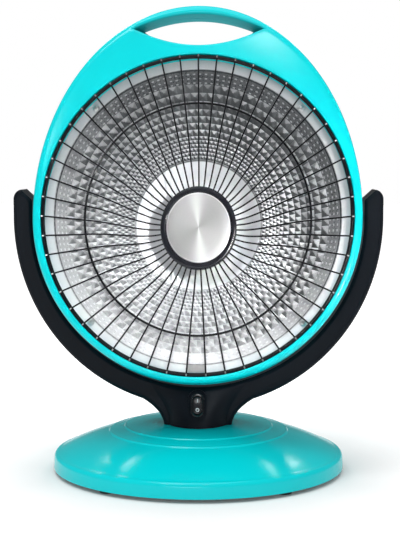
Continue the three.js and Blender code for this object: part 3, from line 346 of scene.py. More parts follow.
class Value:
    """A number on its way through a shader. Python arithmetic on it adds Math nodes."""

    def __init__(self, paint, socket):
        self.paint, self.socket = paint, socket

    def math(self, operation, *others, **settings):
        return self.paint.node("ShaderNodeMath", [self, *others], operation=operation, **settings)

    def __add__(self, other):
        return self.math("ADD", other)

    __radd__ = __add__

    def __mul__(self, other):
        return self.math("MULTIPLY", other)

    __rmul__ = __mul__

    def __sub__(self, other):
        return self.math("SUBTRACT", other)

    def __rsub__(self, other):
        return self.paint.node("ShaderNodeMath", [other, self], operation="SUBTRACT")

    def __pow__(self, other):
        return self.math("POWER", other)

    def clamped(self):
        return self.math("MULTIPLY", 1.0, use_clamp=True)

    def above(self, edge, width):
        """0 below the edge and 1 above it, with a straight ramp of the given width between."""
        return ((self - (edge - width / 2)) * (1.0 / width)).clamped()

    def between(self, low, high, width):
        return self.above(low, width) * (1.0 - self.above(high, width))


class Nodes:
    """Adds nodes to a tree."""

    def __init__(self, tree):
        self.tree = tree

    def node(self, kind, inputs=(), out=0, **settings):
        """Adds a node: its settings first, then the values or links of its sockets. Returns the
        asked output as a Value. An input of None stays as it is."""
        made = self.tree.nodes.new(kind)
        for key, value in settings.items():
            setattr(made, key, value)
        pairs = inputs.items() if isinstance(inputs, dict) else enumerate(inputs)
        for key, value in pairs:
            if isinstance(value, Value):
                self.tree.links.new(value.socket, made.inputs[key])
            elif value is not None:
                made.inputs[key].default_value = value
        return Value(self, made.outputs[out])

    def mix(self, share, first, second):
        """A colour between two colours. Each is a Value or three numbers."""
        ends = [end if isinstance(end, Value) else (*end, 1.0) for end in (first, second)]
        return self.node("ShaderNodeMix", {0: share, 6: ends[0], 7: ends[1]}, out=2, data_type="RGBA")

    def coordinates(self, place=(0.0, 0.0, 0.0), turn=(0.0, 0.0, 0.0)):
        """Object coordinates in millimetres, in a frame that stands at a place with a turn."""
        raw = self.node("ShaderNodeTexCoord", out=3)
        return self.node("ShaderNodeMapping", [raw, place, turn, (MM, MM, MM)], vector_type="TEXTURE")

    def face_coordinates(self):
        origin = face_to_world((0.0, 0.0, 0.0)) * MM
        return self.coordinates(tuple(origin), (-math.radians(HEAD_TILT), 0.0, 0.0))

    def parts(self, vector):
        split = self.tree.nodes.new("ShaderNodeSeparateXYZ")
        self.tree.links.new(vector.socket, split.inputs[0])
        return [Value(self, split.outputs[i]) for i in range(3)]

    def reach(self, x, z):
        return (x * x + z * z).math("SQRT")

    def noise(self, vector, scale, detail=2.0, roughness=0.5):
        return self.node("ShaderNodeTexNoise", [vector, None, scale, detail, roughness])

    def cells(self, vector, scale):
        """Distance to the nearest of scattered points."""
        return self.node("ShaderNodeTexVoronoi", {"Vector": vector, "Scale": scale}, out="Distance")

    def join(self, x, y, z):
        return self.node("ShaderNodeCombineXYZ", [x, y, z])

    def ray(self, kind):
        return self.node("ShaderNodeLightPath", out=kind)


class Paint(Nodes):
    """One material: its node tree and its Principled shader."""

    def __init__(self, name, **fixed):
        self.material = bpy.data.materials.new(name)
        self.material.use_nodes = True
        super().__init__(self.material.node_tree)
        self.shader = self.tree.nodes["Principled BSDF"]
        for socket, value in fixed.items():
            self.shader.inputs[socket.replace("_", " ")].default_value = value

    def feed(self, socket, value):
        self.tree.links.new(value.socket, self.shader.inputs[socket])

    def cover(self, colour, roughness, height=None, distance=0.0, strength=1.0):
        """Feeds colour and roughness, and a height to the normal: its distance is in millimetres."""
        self.feed("Base Color", colour)
        self.feed("Roughness", roughness)
        if height:
            sockets = {"Height": height, "Distance": distance * MM, "Strength": strength}
            self.feed("Normal", self.node("ShaderNodeBump", sockets))


def moulded_teal(look):
    """Glossy moulded plastic: a faint orange peel, a slight cloudiness of the colour and soft
    variation of the gloss. The underside of the carry handle has painted shade: the darker colour starts a
    little above the parabola of the opening's upper edge."""
    paint = Paint("moulded_teal", IOR=1.45, Specular_IOR_Level=0.3)
    place = paint.coordinates()
    cloud = paint.noise(place, 0.02, 3.0)
    peel = paint.noise(place, 0.35, 2.0)
    fine = paint.noise(place, 3.0, 2.0)
    x, depth, z = paint.parts(paint.face_coordinates())
    tip = FACE[1] + GRIP_FRONT["tip"]
    bow = 1.0 - x * x * (1.0 / GRIP_FRONT["span"] ** 2)
    past = z - (bow * GRIP_FRONT["up"] + tip)
    inside = bow.above(0.03, 0.06) * z.above(tip - 4.0, 8.0)
    # painted shade: the colour darkens on the underside of the handle's bar, inside the opening
    shade = inside * (1.0 - past.above(0.9, 2.6)) * depth.above(1.5, 4.0)
    pale = [min(1.0, c * 1.05 + 0.001) for c in look.teal]
    shaded_teal = [c * 0.42 for c in look.teal]
    colour = paint.mix(shade, paint.mix(cloud, look.teal, pale), shaded_teal)
    rough = 0.13 + cloud * 0.05 + fine * 0.03 + shade * 0.5
    paint.cover(colour, rough, peel + fine * 0.1, 0.02, 0.4)
    return paint.material


def grained_black(look):
    """Satin moulded plastic with a fine leather-like grain and scattered pale specks."""
    paint = Paint("grained_black", IOR=1.47, Specular_IOR_Level=0.12)
    place = paint.coordinates()
    grain = paint.cells(place, 0.9)
    fine = paint.noise(place, 2.4, 3.0)
    cloud = paint.noise(place, 0.05, 4.0)
    patch = paint.noise(place, 0.09, 2.0).above(0.56, 0.1)
    speck = paint.cells(place, 0.22).math("LESS_THAN", 0.16) * patch
    worn = [c * 1.9 + 0.003 for c in look.black]
    colour = paint.mix(cloud * 0.5 + speck * 0.5, look.black, worn)
    rough = 0.3 + fine * 0.16 + cloud * 0.08
    paint.cover(colour, rough, grain * 0.6 + fine * 0.5 + speck * 0.8, 0.09, 0.7)
    return paint.material


def embossed_aluminium(look):
    """Bright aluminium sheet in the frame of the face. The pyramids are in the mesh, and their
    facets carry painted light: the more a facet turns up, the brighter its colour. Outside them lies a band
    of fine punched dots in rings, and a line marks the border of the flat flange. The cup in the
    middle is bright and smooth, and the flange and the cup have painted light that is brighter towards the
    bottom."""
    paint = Paint("embossed_aluminium")
    place = paint.face_coordinates()
    x, depth, z = paint.parts(place)
    radius = paint.reach(x, z * (1.0 / OVAL))
    angle = x.math("ARCTAN2", z)
    fine = paint.noise(place, 1.1, 3.0)
    cloud = paint.noise(place, 0.03, 2.0)
    # painted light: a facet's colour is the brighter the more its normal turns towards a fixed direction
    normal = paint.node("ShaderNodeTexCoord", out=1)
    facet_light = paint.node("ShaderNodeVectorMath", [normal, FACET_LIGHT_AIM], out=1, operation="DOT_PRODUCT").clamped()
    speck = paint.cells(paint.join(x, z, 0.0), 0.55)
    stipple = radius.between(132.0, BORDER_RADIUS - 1.0, 3.0)
    dot = (1.0 - speck.above(0.3, 0.2)) * stipple
    ring_row = (radius * (2 * math.pi / 3.6)).math("SINE").above(0.55, 0.4)
    ring_dot = (angle * 150.0).math("SINE").above(0.3, 0.6) * ring_row * stipple
    dish = radius.between(CUP_RADIUS, BORDER_RADIUS - 0.6, 1.0)
    cup = 1.0 - radius.above(CUP_RADIUS + 0.2, 0.6)
    line = radius.between(BORDER_RADIUS - 1.4, BORDER_RADIUS + 0.1, 0.5)
    # painted light: the flange and the cup are painted brighter towards the bottom
    lower = (z * (-1.0 / FACE[1]) + 0.35).clamped()
    body = 0.07 + facet_light * facet_light * 0.9 + (cloud - 0.5) * 0.14
    flat = 0.5 + lower * 0.3 + cup * 0.4
    level = body * dish + (1.0 - dish) * flat
    shade = level + (fine - 0.5) * 0.05 + ring_dot * 0.25 - dot * 0.1 - line * 0.45
    paint.feed("Metallic", dish * 0.35)
    colour = paint.mix(shade.clamped(), (0.02, 0.026, 0.03), look.aluminium)
    rough = 0.5 - dish * 0.2 + fine * 0.08
    paint.cover(colour, rough, dot * -0.9 + ring_dot * 0.5 + fine * 0.05, 0.35, 0.9)
    return paint.material


def brushed_cap(look):
    """A spun steel disc: fine rings in the tone, the gloss and the relief, and painted light: the wedges of
    light that such rings throw, painted as a tone that goes with the angle round the disc."""
    paint = Paint("brushed_cap", Metallic=0.35)
    x, depth, z = paint.parts(paint.face_coordinates())
    low = (z + HUB_DROP) * (1.0 / CAP_OVAL)
    radius = paint.reach(x, low)
    angle = x.math("ARCTAN2", low)
    rings = paint.noise(paint.join(radius * 3.0, angle * 0.6, 0.0), 1.0, 4.0, 0.7)
    # painted light: a narrow bright wedge up and down the disc, a broad brighter band along it, two diagonal
    # quarters painted darker and a painted highlight on the rim
    beam = (angle + 0.1).math("COSINE")
    painted_wedge = (beam * beam) ** 14.0 * 0.34
    upright = angle.math("COSINE")
    wide = (upright * upright) ** 2.0 * 0.1
    side = (angle * 2.0 + 0.4).math("SINE") * -0.07
    edge = radius.above(CAP_RADIUS - 1.3, 0.6) * 0.3
    shade = (0.46 + painted_wedge + wide + side + edge + (rings - 0.5) * 0.1) * 0.46
    colour = paint.mix(shade.clamped(), (0.0, 0.0, 0.0), look.cap)
    paint.cover(colour, 0.34 + rings * 0.14, rings, 0.03, 0.4)
    return paint.material


def enamelled_wire(look):
    """Black enamel with slight sags. The wires' outer tips are bare metal."""
    paint = Paint("enamelled_wire", IOR=1.5, Specular_IOR_Level=0.25)
    place = paint.face_coordinates()
    x, depth, z = paint.parts(place)
    radius = paint.reach(x, z * (1.0 / OVAL))
    bare = radius.above(RING_RADIUS - 0.2, 1.0) * (1.0 - depth.above(1.0, 0.1))
    sag = paint.noise(place, 0.25, 3.0)
    paint.feed("Metallic", bare)
    paint.cover(paint.mix(bare, look.wire, (0.62, 0.64, 0.66)), 0.24 + sag * 0.14, sag, 0.12, 0.5)
    return paint.material


def satin_black(look):
    """Smooth black moulding with faint flow marks."""
    paint = Paint("satin_black", IOR=1.5, Specular_IOR_Level=0.4)
    place = paint.coordinates()
    flow = paint.noise(place, 0.12, 4.0)
    fine = paint.noise(place, 2.0, 2.0)
    colour = paint.mix(flow, (0.002, 0.0025, 0.004), (0.005, 0.006, 0.01))
    paint.cover(colour, 0.16 + flow * 0.1 + fine * 0.05, fine, 0.02, 0.4)
    return paint.material


def switch_gloss(look):
    """Glossy black rocker with a white bar and ring let into its two ends."""
    paint = Paint("switch_gloss", IOR=1.5, Coat_Weight=0.3, Coat_Roughness=0.05)
    origin = switch_to_world((0.0, 0.0, 0.0)) * MM
    place = paint.coordinates(tuple(origin), (-math.radians(SWITCH_LEAN), 0.0, 0.0))
    x, depth, z = paint.parts(place)
    bar = 1.0 - x.math("ABSOLUTE").above(0.42, 0.15)
    bar = bar * (1.0 - (z - 4.6).math("ABSOLUTE").above(1.7, 0.2))
    ring = 1.0 - (paint.reach(x, z + 4.7) - 1.5).math("ABSOLUTE").above(0.4, 0.15)
    mark = ((bar + ring) * (1.0 - depth.above(1.6, 0.3))).clamped()
    smudge = paint.noise(place, 0.3, 3.0)
    colour = paint.mix(mark, (0.008, 0.009, 0.012), (0.62, 0.64, 0.66))
    paint.cover(colour, 0.12 + smudge * 0.14 + mark * 0.2, mark * -1.0 + smudge * 0.2, 0.05, 0.6)
    return paint.material


def matte_rubber(look):
    """Dull rubber with a sandy surface."""
    paint = Paint("matte_rubber")
    sand = paint.noise(paint.coordinates(), 1.6, 4.0)
    colour = paint.mix(sand, (0.009, 0.009, 0.01), (0.028, 0.028, 0.03))
    paint.cover(colour, 0.72 + sand * 0.2, sand, 0.12, 0.6)
    return paint.material


def zinc_steel(look):
    """Zinc-plated steel: cloudy plating with fine scratches."""
    paint = Paint("zinc_steel", Metallic=1.0)
    place = paint.coordinates()
    cloud = paint.noise(place, 0.09, 4.0)
    drawn = paint.node("ShaderNodeVectorMath", [place, (0.2, 3.0, 3.0)], operation="MULTIPLY")
    scratch = paint.noise(drawn, 1.0, 3.0)
    colour = paint.mix(cloud, (0.5, 0.51, 0.52), (0.72, 0.73, 0.74))
    paint.cover(colour, 0.24 + cloud * 0.14 + scratch * 0.08, scratch, 0.03, 0.5)
    return paint.material


def fired_ceramic(look):
    """Unglazed heater ceramic, off-white with grey specks."""
    paint = Paint("fired_ceramic")
    place = paint.coordinates()
    sand = paint.noise(place, 0.8, 4.0)
    speck = 1.0 - paint.cells(place, 0.5).above(0.12, 0.08)
    body = paint.mix(sand, (0.62, 0.58, 0.5), (0.78, 0.75, 0.68))
    colour = paint.mix(speck * 0.6, body, (0.3, 0.28, 0.25))
    paint.cover(colour, 0.6 + sand * 0.2, sand, 0.15, 0.5)
    return paint.material


def oxidised_wire(look):
    """Resistance wire, dark with bluish and brownish oxide."""
    paint = Paint("oxidised_wire", Metallic=1.0)
    oxide = paint.noise(paint.coordinates(), 0.25, 3.0)
    paint.cover(paint.mix(oxide, (0.2, 0.17, 0.15), (0.3, 0.32, 0.36)), 0.34 + oxide * 0.2)
    return paint.material


def cast_iron(look):
    """Rough cast iron with a sandy skin."""
    paint = Paint("cast_iron", Metallic=0.8)
    sand = paint.noise(paint.coordinates(), 0.5, 5.0, 0.6)
    colour = paint.mix(sand, (0.05, 0.05, 0.055), (0.13, 0.13, 0.135))
    paint.cover(colour, 0.55 + sand * 0.2, sand, 0.5, 0.8)
    return paint.material


FINISHES = {
    "teal_shell": moulded_teal,
    "black_shell": grained_black,
    "black_trim": satin_black,
    "gloss_switch": switch_gloss,
    "rubber": matte_rubber,
    "reflector_aluminium": embossed_aluminium,
    "brushed_cap": brushed_cap,
    "steel": zinc_steel,
    "guard_enamel": enamelled_wire,
    "ceramic": fired_ceramic,
    "coil_wire": oxidised_wire,
    "cast_ballast": cast_iron,
}
made_finishes = {}


def finish(slot):
    """The finish of a material slot, made once."""
    if slot not in made_finishes:
        made_finishes[slot] = FINISHES[slot](bpy.context.scene.heater_look)
    return made_finishes[slot]


# base


def smooth_step(value):
    """0 below 0, 1 above 1, and 3t^2 - 2t^3 between."""
    t = np.clip(value, 0, 1)
    return t * t * (3 - 2 * t)


def dome_height(radius):
    """Height of the dome: from the rim it climbs by (1 + f)t - ft^2 of its rise, with t the share of
    the way in and f the fullness, and each ring adds a step of one millimetre with a low bead on its edge."""
    rim = BASE_RADIUS - RIM_ROUND
    t = np.clip((rim - radius) / (rim - PLATEAU_RADIUS), 0, 1)
    height = BASE_WALL_TOP + DOME_RISE * ((1 + DOME_FULLNESS) * t - DOME_FULLNESS * t * t)
    for step in STEP_RADII:
        height = height + smooth_step((step - radius) / 1.6)
        height = height + 0.35 * np.exp(-(((radius - step + 1.6) / 1.1) ** 2))
    return height


def base_profile():
    """The shell's section: foot of the wall, wall, rounded rim, dome, plateau, and back inside."""
    radii = np.concatenate([
        np.linspace(BASE_RADIUS - RIM_ROUND, STEP_RADII[0] + 3, 22)[1:],
        np.linspace(STEP_RADII[0] + 2.4, STEP_RADII[0] - 4, 18),
        np.linspace(STEP_RADII[0] - 5, STEP_RADII[1] + 3, 6),
        np.linspace(STEP_RADII[1] + 2.4, STEP_RADII[1] - 4, 18),
        np.linspace(STEP_RADII[1] - 5, PLATEAU_RADIUS + 0.5, 12),
    ])
    dome = np.stack([radii, np.minimum(dome_height(radii), PLATEAU)], -1)
    foot = arc((BASE_RADIUS - 0.6, BASE_BOTTOM + 0.6), (0.6, 0.6), -90, 0, 4)
    rim = arc((BASE_RADIUS - RIM_ROUND, BASE_WALL_TOP - RIM_ROUND), (RIM_ROUND - 0.5, RIM_ROUND), 4, 90, 10)
    inner_radii = np.linspace(PLATEAU_RADIUS, BASE_RADIUS - 9, 14)
    inner = np.stack([inner_radii, dome_height(inner_radii) - SHELL_WALL - 1], -1)
    return polyline(
        foot, rim, dome,
        [(PLATEAU_RADIUS, PLATEAU), (12, PLATEAU), (10, PLATEAU - 0.6)],
        [(10, PLATEAU - SHELL_WALL), (48, PLATEAU - SHELL_WALL)],
        inner,
        [(BASE_RADIUS - 3.4, BASE_WALL_TOP - 6), (BASE_RADIUS - 2.6, BASE_BOTTOM)],
    )


def foot_profile():
    """A rubber foot: rounded tread, straight side and a stem through the plate."""
    seat = PLATE_BOTTOM - GAP
    return polyline(
        [(0, 0), (FOOT_RADIUS - 1.4, 0)],
        arc((FOOT_RADIUS - 1.2, 1.2), (1.2, 1.2), -70, 0, 6),
        arc((FOOT_RADIUS - 0.5, seat - 0.5), (0.5, 0.5), 0, 90, 4),
        [(2.4, seat), (2.4, 9.6), (0, 9.6)],
    )


def circle_place(radius, degrees):
    return radius * math.cos(math.radians(degrees)), radius * math.sin(math.radians(degrees))


def mirrored(degrees):
    return [degrees, 180 - degrees, 180 + degrees, -degrees]


# screws


def screw_grids(place, turn):
    """A pan-head screw along Z, head below: a polar grid whose head is lowered where it lies
    within the arms of a cross. Turn maps points about the screw to the asked frame."""
    angle = np.linspace(0, 2 * np.pi, 48, endpoint=False)
    radii = np.concatenate([np.linspace(0, 2.2, 12), np.linspace(2.45, 3.6, 8)])
    r, a = radii[:, None], angle[None, :]
    x, y = r * np.cos(a + 0.4), r * np.sin(a + 0.4)
    dome = -2.0 + 1.6 * (r / 3.6) ** 4
    arms = np.minimum(np.abs(x), np.abs(y)) - 0.42
    reach = np.maximum(np.abs(x), np.abs(y)) - 1.9
    sunk = 1.1 * smooth_step(-np.maximum(arms, reach) / 0.25)
    top = np.stack([r * np.cos(a), r * np.sin(a), np.minimum(dome + sunk, -0.1)], -1)
    rest = np.array([(3.6, 0.0), (1.6, 0.0), (1.6, 10.4), (0.0, 12.0)])
    shaft = np.stack([rest[:, :1] * np.cos(a), rest[:, :1] * np.sin(a), rest[:, 1:] + 0 * a], -1)
    points = np.concatenate([top, shaft])
    return [(turn(points) + np.asarray(place, float), False, True)]


def pointing_up(points):
    return points


def into_face(points):
    """Z becomes depth."""
    return np.stack([points[..., 0], points[..., 2], -points[..., 1]], -1)


# yoke


def neck_curve(count):
    """The neck's right edge from its foot up to the outer curve: a cubic Bezier curve."""
    blend_angle = math.asin(NECK_BLEND / YOKE_OUTER[0])
    p = np.array([
        (NECK_HALF_WIDTH, NECK_FOOT),
        (NECK_HALF_WIDTH + 1.5, 60.0),
        (NECK_HALF_WIDTH + 9.0, 68.6),
        (NECK_BLEND, PIVOT_HEIGHT - YOKE_OUTER[1] * math.cos(blend_angle)),
    ])
    t = np.linspace(0, 1, count)[:, None]
    return (1 - t) ** 3 * p[0] + 3 * (1 - t) ** 2 * t * p[1] + 3 * (1 - t) * t * t * p[2] + t ** 3 * p[3]


def oval_reach(size, angle):
    """Distance from an oval's middle to its edge at an angle from straight down."""
    return 1 / np.sqrt((np.sin(angle) / size[0]) ** 2 + (np.cos(angle) / size[1]) ** 2)


def yoke_edges():
    """Matching points on the outer and the inner edge from the left tip to the right tip. Up to
    the pivot they share the angle about it, and above it the height. The outer edge leaves the
    oval for the neck: a Bezier curve down each side and a straight foot."""
    neck = neck_curve(200)
    foot_angle = math.atan(NECK_HALF_WIDTH / (PIVOT_HEIGHT - NECK_FOOT))
    neck_angle = np.arctan2(neck[:, 0], PIVOT_HEIGHT - neck[:, 1])
    neck_reach = np.hypot(neck[:, 0], PIVOT_HEIGHT - neck[:, 1])
    angle = np.concatenate([
        np.linspace(0, foot_angle, 30)[:-1],
        np.linspace(foot_angle, neck_angle[-1], 40)[:-1],
        np.linspace(neck_angle[-1], math.radians(30), 24)[:-1],
        np.linspace(math.radians(30), math.radians(90), 60),
    ])
    reach = oval_reach(YOKE_OUTER, angle)
    in_neck = angle <= neck_angle[-1]
    reach = np.where(in_neck, np.interp(angle, neck_angle, neck_reach), reach)
    reach = np.where(angle <= foot_angle, (PIVOT_HEIGHT - NECK_FOOT) / np.cos(angle), reach)
    inner_reach = oval_reach(YOKE_INNER, angle)
    down = np.stack([np.sin(angle), -np.cos(angle)], -1)
    outer = down * reach[:, None] + (0, PIVOT_HEIGHT)
    inner = down * inner_reach[:, None] + (0, PIVOT_HEIGHT)
    tip = arc((YOKE_OUTER[0] - 9.0, TIP_TOP - 10.0), (9.0, 10.0), 8, 80, 10)
    rise_outer = np.stack([np.full(8, YOKE_OUTER[0]), np.linspace(PIVOT_HEIGHT, TIP_TOP - 11, 9)[1:]], -1)
    rise_inner = np.stack([np.full(8, YOKE_INNER[0]), np.linspace(PIVOT_HEIGHT, TIP_INNER - 7, 9)[1:]], -1)
    tip_inner = arc((YOKE_INNER[0] + 3.0, TIP_INNER - 5.0), (3.0, 4.0), 180, 112, 10)
    outer = np.concatenate([outer, rise_outer, tip])
    inner = np.concatenate([inner, rise_inner, tip_inner])
    flip = np.array([-1, 1])
    return [np.concatenate([(edge[1:] * flip)[::-1], edge]) for edge in (outer, inner)]


def distance_to_line(points, line):
    """Smallest distance from each point to a chain of straight pieces."""
    start, step = line[:-1], np.diff(line, axis=0)
    offset = points[..., None, :] - start
    share = np.clip((offset * step).sum(-1) / np.maximum((step * step).sum(-1), 1e-9), 0, 1)
    return np.linalg.norm(offset - share[..., None] * step, axis=-1).min(-1)


def half_depth(x, z, edge_distance):
    """Half the yoke's depth at a point: the smooth maximum of the arms' depth and of the neck's
    oval column, less a rounded chamfer within three and a half millimetres of the edge."""
    top = PIVOT_HEIGHT - YOKE_INNER[1] - GAP
    t = np.clip((z - NECK_FOOT) / (top - NECK_FOOT), 0, 1.25)
    width = NECK_HALF_WIDTH + COLUMN_SPREAD * t ** COLUMN_POWER
    depth = NECK_DEPTHS[0] + (NECK_DEPTHS[1] - NECK_DEPTHS[0]) * t
    column = depth * np.sqrt(np.clip(1 - (x / width) ** 2, 0, 1))
    arm = YOKE_HALF_DEPTH - 0.35
    blend = 5.0
    whole = (arm + column + np.sqrt((arm - column) ** 2 + blend ** 2)) / 2 - 0.1
    near = np.clip(1 - edge_distance / 3.4, 0, 1)
    return np.minimum(whole, np.maximum(column, YOKE_HALF_DEPTH)) - 3.0 * near ** 1.35


def yoke_half(side):
    """Front (side -1) or rear (side 1) shell: the face is a grid between the edges, its border is
    drawn back to the parting plane as a wall, and a flat grid closes it."""
    outer, inner = yoke_edges()
    share = (1 - np.cos(np.linspace(0, np.pi, 34))) / 2
    flat = inner[None] + (outer - inner)[None] * share[:, None, None]
    straight_foot = np.abs(outer[:, 1] - NECK_FOOT) < 1e-6
    left = outer[: np.argmax(straight_foot) + 1]
    right = outer[len(outer) - 1 - np.argmax(straight_foot[::-1]):]
    border = [np.concatenate([inner[:1], left]), np.concatenate([right, inner[-1:]]), inner]
    distance = np.min([distance_to_line(flat, line) for line in border], axis=0)
    depth = half_depth(flat[..., 0], flat[..., 1], distance)
    face = np.stack([flat[..., 0], side * depth, flat[..., 1]], -1)
    parting = side * GAP / 2
    loop = np.concatenate([face[:, 0], face[-1, 1:], face[::-1, -1][1:], face[0, ::-1][1:-1]])
    steps = np.linspace(0, 1, 7)[:, None]
    wall = np.stack([
        np.broadcast_to(loop[:, 0], (7, len(loop))),
        loop[:, 1] + (parting - loop[:, 1]) * steps,
        np.broadcast_to(loop[:, 2], (7, len(loop))),
    ], -1)
    back = np.stack([flat[..., 0], np.full(flat.shape[:2], parting), flat[..., 1]], -1)
    return [(face, False, False), (wall, False, True), (back, False, False)]


# head housings


def oval_curve(size, angle, offset=0.0):
    """Points of an egg: a width, and heights above and below, moved out by offset."""
    height = np.where(np.sin(angle) > 0, size[1], size[-1])
    return np.stack([(size[0] + offset) * np.cos(angle), (height + offset) * np.sin(angle)], -1)


GRIP_TIP_COSINE = GRIP_FRONT["span"] / (FACE[0] + 4.0)


def head_angles():
    """Angles of the columns round the head. Above the handle opening they go by its own angle,
    so that the first and last of them end on its tips. Returns them and the opening's angles."""
    grip = np.linspace(0, np.pi, 181)
    crown = np.arccos(np.cos(grip) * GRIP_TIP_COSINE)
    rest = np.linspace(crown[-1], 2 * np.pi + crown[0], 361)[1:-1]
    return np.concatenate([crown, rest]), grip


def grip_at(share):
    return {key: GRIP_FRONT[key] + (GRIP_BACK[key] - GRIP_FRONT[key]) * share for key in GRIP_FRONT}


def grip_edge(share, upper):
    """The handle opening's upper or lower edge at a share of its depth, over all columns. An edge
    is a parabola between the tips: its height falls with the square of x. Beyond the tips the
    two edges are one curve round the head."""
    angle, grip = head_angles()
    size, front = grip_at(share), grip_at(0.0)
    rise = size["up"] if upper else -size["down"]
    lens = np.stack([size["span"] * np.cos(grip), FACE[1] + size["tip"] + rise * np.sin(grip) ** 2], -1)
    rest = angle[len(grip):]
    start = np.array([front["span"], FACE[1] + front["tip"]])
    base_share = (start[1] / math.sin(angle[0]) - FACE[1]) / (CROWN - FACE[1])
    size_beyond = [side + (rim - side) * base_share for side, rim in zip((*FACE, FACE[1]), RIM)]
    beyond = oval_curve(size_beyond, rest)
    gone = np.minimum(rest - angle[len(grip) - 1], 2 * np.pi + angle[0] - rest)
    side = np.where(np.cos(rest) > 0, 1.0, -1.0)
    shift = np.array([size["span"] - front["span"], size["tip"] - front["tip"]])
    miss = start - oval_curve(size_beyond, angle[:1])[0]
    fade = np.exp(-gone / 0.12)
    move = (shift + miss)[None] * fade[:, None]
    beyond = beyond + np.stack([side * move[:, 0], move[:, 1]], -1)
    return np.concatenate([lens, beyond])


def spaced(first, last, count):
    """Rows between two curves, closer together near both."""
    share = (1 - np.cos(np.linspace(0, np.pi, count))) / 2
    return first[None] + (last - first)[None] * share[:, None, None]


def at_depth(flat, depth):
    """Plan points with a depth each, as points of the face's frame."""
    depth = np.broadcast_to(depth, flat.shape[:-1])
    return np.stack([flat[..., 0], depth, flat[..., 1]], -1)


def quarter_round(distance, width, drop):
    """A quarter oval: full drop at the edge, none beyond the width."""
    t = np.clip(1 - distance / width, 0, 1)
    return drop * (1 - np.sqrt(np.clip(1 - t * t, 0, 1)))


def grip_distance(flat):
    """Distance outside the handle opening's front edge, measured across its two parabolas."""
    size = grip_at(0.0)
    x = np.abs(flat[..., 0])
    z = flat[..., 1] - FACE[1] - size["tip"]
    bow = np.clip(1 - (x / size["span"]) ** 2, 0, 1)
    rise = np.where(z > 0, size["up"], size["down"])
    slope = 2 * rise * np.minimum(x, size["span"]) / size["span"] ** 2
    across = (np.abs(z) - rise * bow) / np.sqrt(1 + slope ** 2)
    beyond = np.hypot(np.maximum(x - size["span"], 0), z)
    return np.maximum(np.where(x < size["span"], across, beyond), 0)


def front_depth(flat, angle):
    """Depth of the bezel's front: rounded over at the outer edge, at the lip of the face opening
    and at the handle opening, and bowed forwards a little between them."""
    edge = oval_curve(RIM, angle)
    lip = oval_curve(FACE, angle)
    out = np.linalg.norm(edge - flat, axis=-1)
    inside = np.linalg.norm(flat - lip, axis=-1)
    width = np.linalg.norm(edge - lip, axis=-1)
    over = quarter_round(out, np.clip(width * 0.62, 4.5, 8.5), 5.0)
    bow = 0.9 * (inside / width) ** 2
    above = smooth_step((flat[..., 1] - FACE[1] - GRIP_FRONT["tip"]) / 9.0 + 0.5)
    grip = quarter_round(grip_distance(flat), 2.4 + 1.4 * above, 2.2 + 1.6 * above)
    return over + bow + quarter_round(inside, 1.6, 1.2) + grip


def housing_front():
    """The bezel: ledge and lip inside, front face in two strips that part at the handle opening,
    outer wall, flat back, and the walls of the opening between front and back."""
    angle, grip = head_angles()
    count = len(grip)
    lip = oval_curve(FACE, angle)
    edge = oval_curve(RIM, angle)
    lower = spaced(lip, grip_edge(0.0, False), 26)
    upper = spaced(grip_edge(0.0, True), edge, 30)
    lower_front = at_depth(lower, front_depth(lower, angle))
    upper_front = at_depth(upper, front_depth(upper, angle))
    share = PARTING / FLANGE_BACK
    wall = [
        at_depth(oval_curve(RIM, angle, -WALL_TAPER * t), RIM_DEPTH + (PARTING - RIM_DEPTH) * t)
        for t in np.linspace(0, 1, 7)[1:]
    ]
    rim_back = oval_curve(RIM, angle, -WALL_TAPER)
    back_upper = at_depth(spaced(rim_back, grip_edge(share, True), 5)[1:], PARTING)
    inner = [
        at_depth(oval_curve(FACE, angle, offset), depth)
        for offset, depth in [(SHELL_WALL, PARTING), (SHELL_WALL, LEDGE_BACK), (-LEDGE_WIDTH, LEDGE_BACK),
                              (-LEDGE_WIDTH, LEDGE_FRONT), (0.0, LEDGE_FRONT), (0.0, 3.0)]
    ]
    low_back = oval_curve(FACE, angle, SHELL_WALL)
    back_lower = at_depth(spaced(grip_edge(share, False), low_back, 4), PARTING)
    lower_grid = np.concatenate([np.array(inner), lower_front])
    upper_grid = np.concatenate([upper_front, np.array(wall), back_upper])
    grids = [(lower_grid, False, True), (upper_grid, False, True), (back_lower, False, True)]
    for front_row, is_upper in ((lower_front[-1], False), (upper_front[0], True)):
        grids.append((grip_wall(front_row[:count], 0.0, share, is_upper, PARTING), False, False))
    return grids


def grip_wall(first_row, from_share, to_share, is_upper, last_depth, steps=9):
    """A wall of the handle opening: each row is the edge at its own share of the depth, and the
    depth goes from the first row's to the last depth."""
    count = len(first_row)
    rows = [first_row]
    for t in np.linspace(0, 1, steps)[1:]:
        flat = grip_edge(from_share + (to_share - from_share) * t, is_upper)[:count]
        rows.append(at_depth(flat, first_row[:, 1] + (last_depth - first_row[:, 1]) * t))
    return np.array(rows)


def bowl_rows(angle, offset, count):
    """The bowl's wall: a quarter of an oval from the flange to the flat back."""
    rows = []
    back = BOWL_BACK / BOWL_SIZE[0]
    for turn in np.linspace(0, np.pi / 2, count):
        scale = back + (1 - back) * math.cos(turn)
        size = [side * scale for side in BOWL_SIZE]
        flat = oval_curve(size, angle, offset * math.cos(turn))
        rows.append(at_depth(flat, FLANGE_BACK + (BOWL_LENGTH + offset) * math.sin(turn)))
    return rows


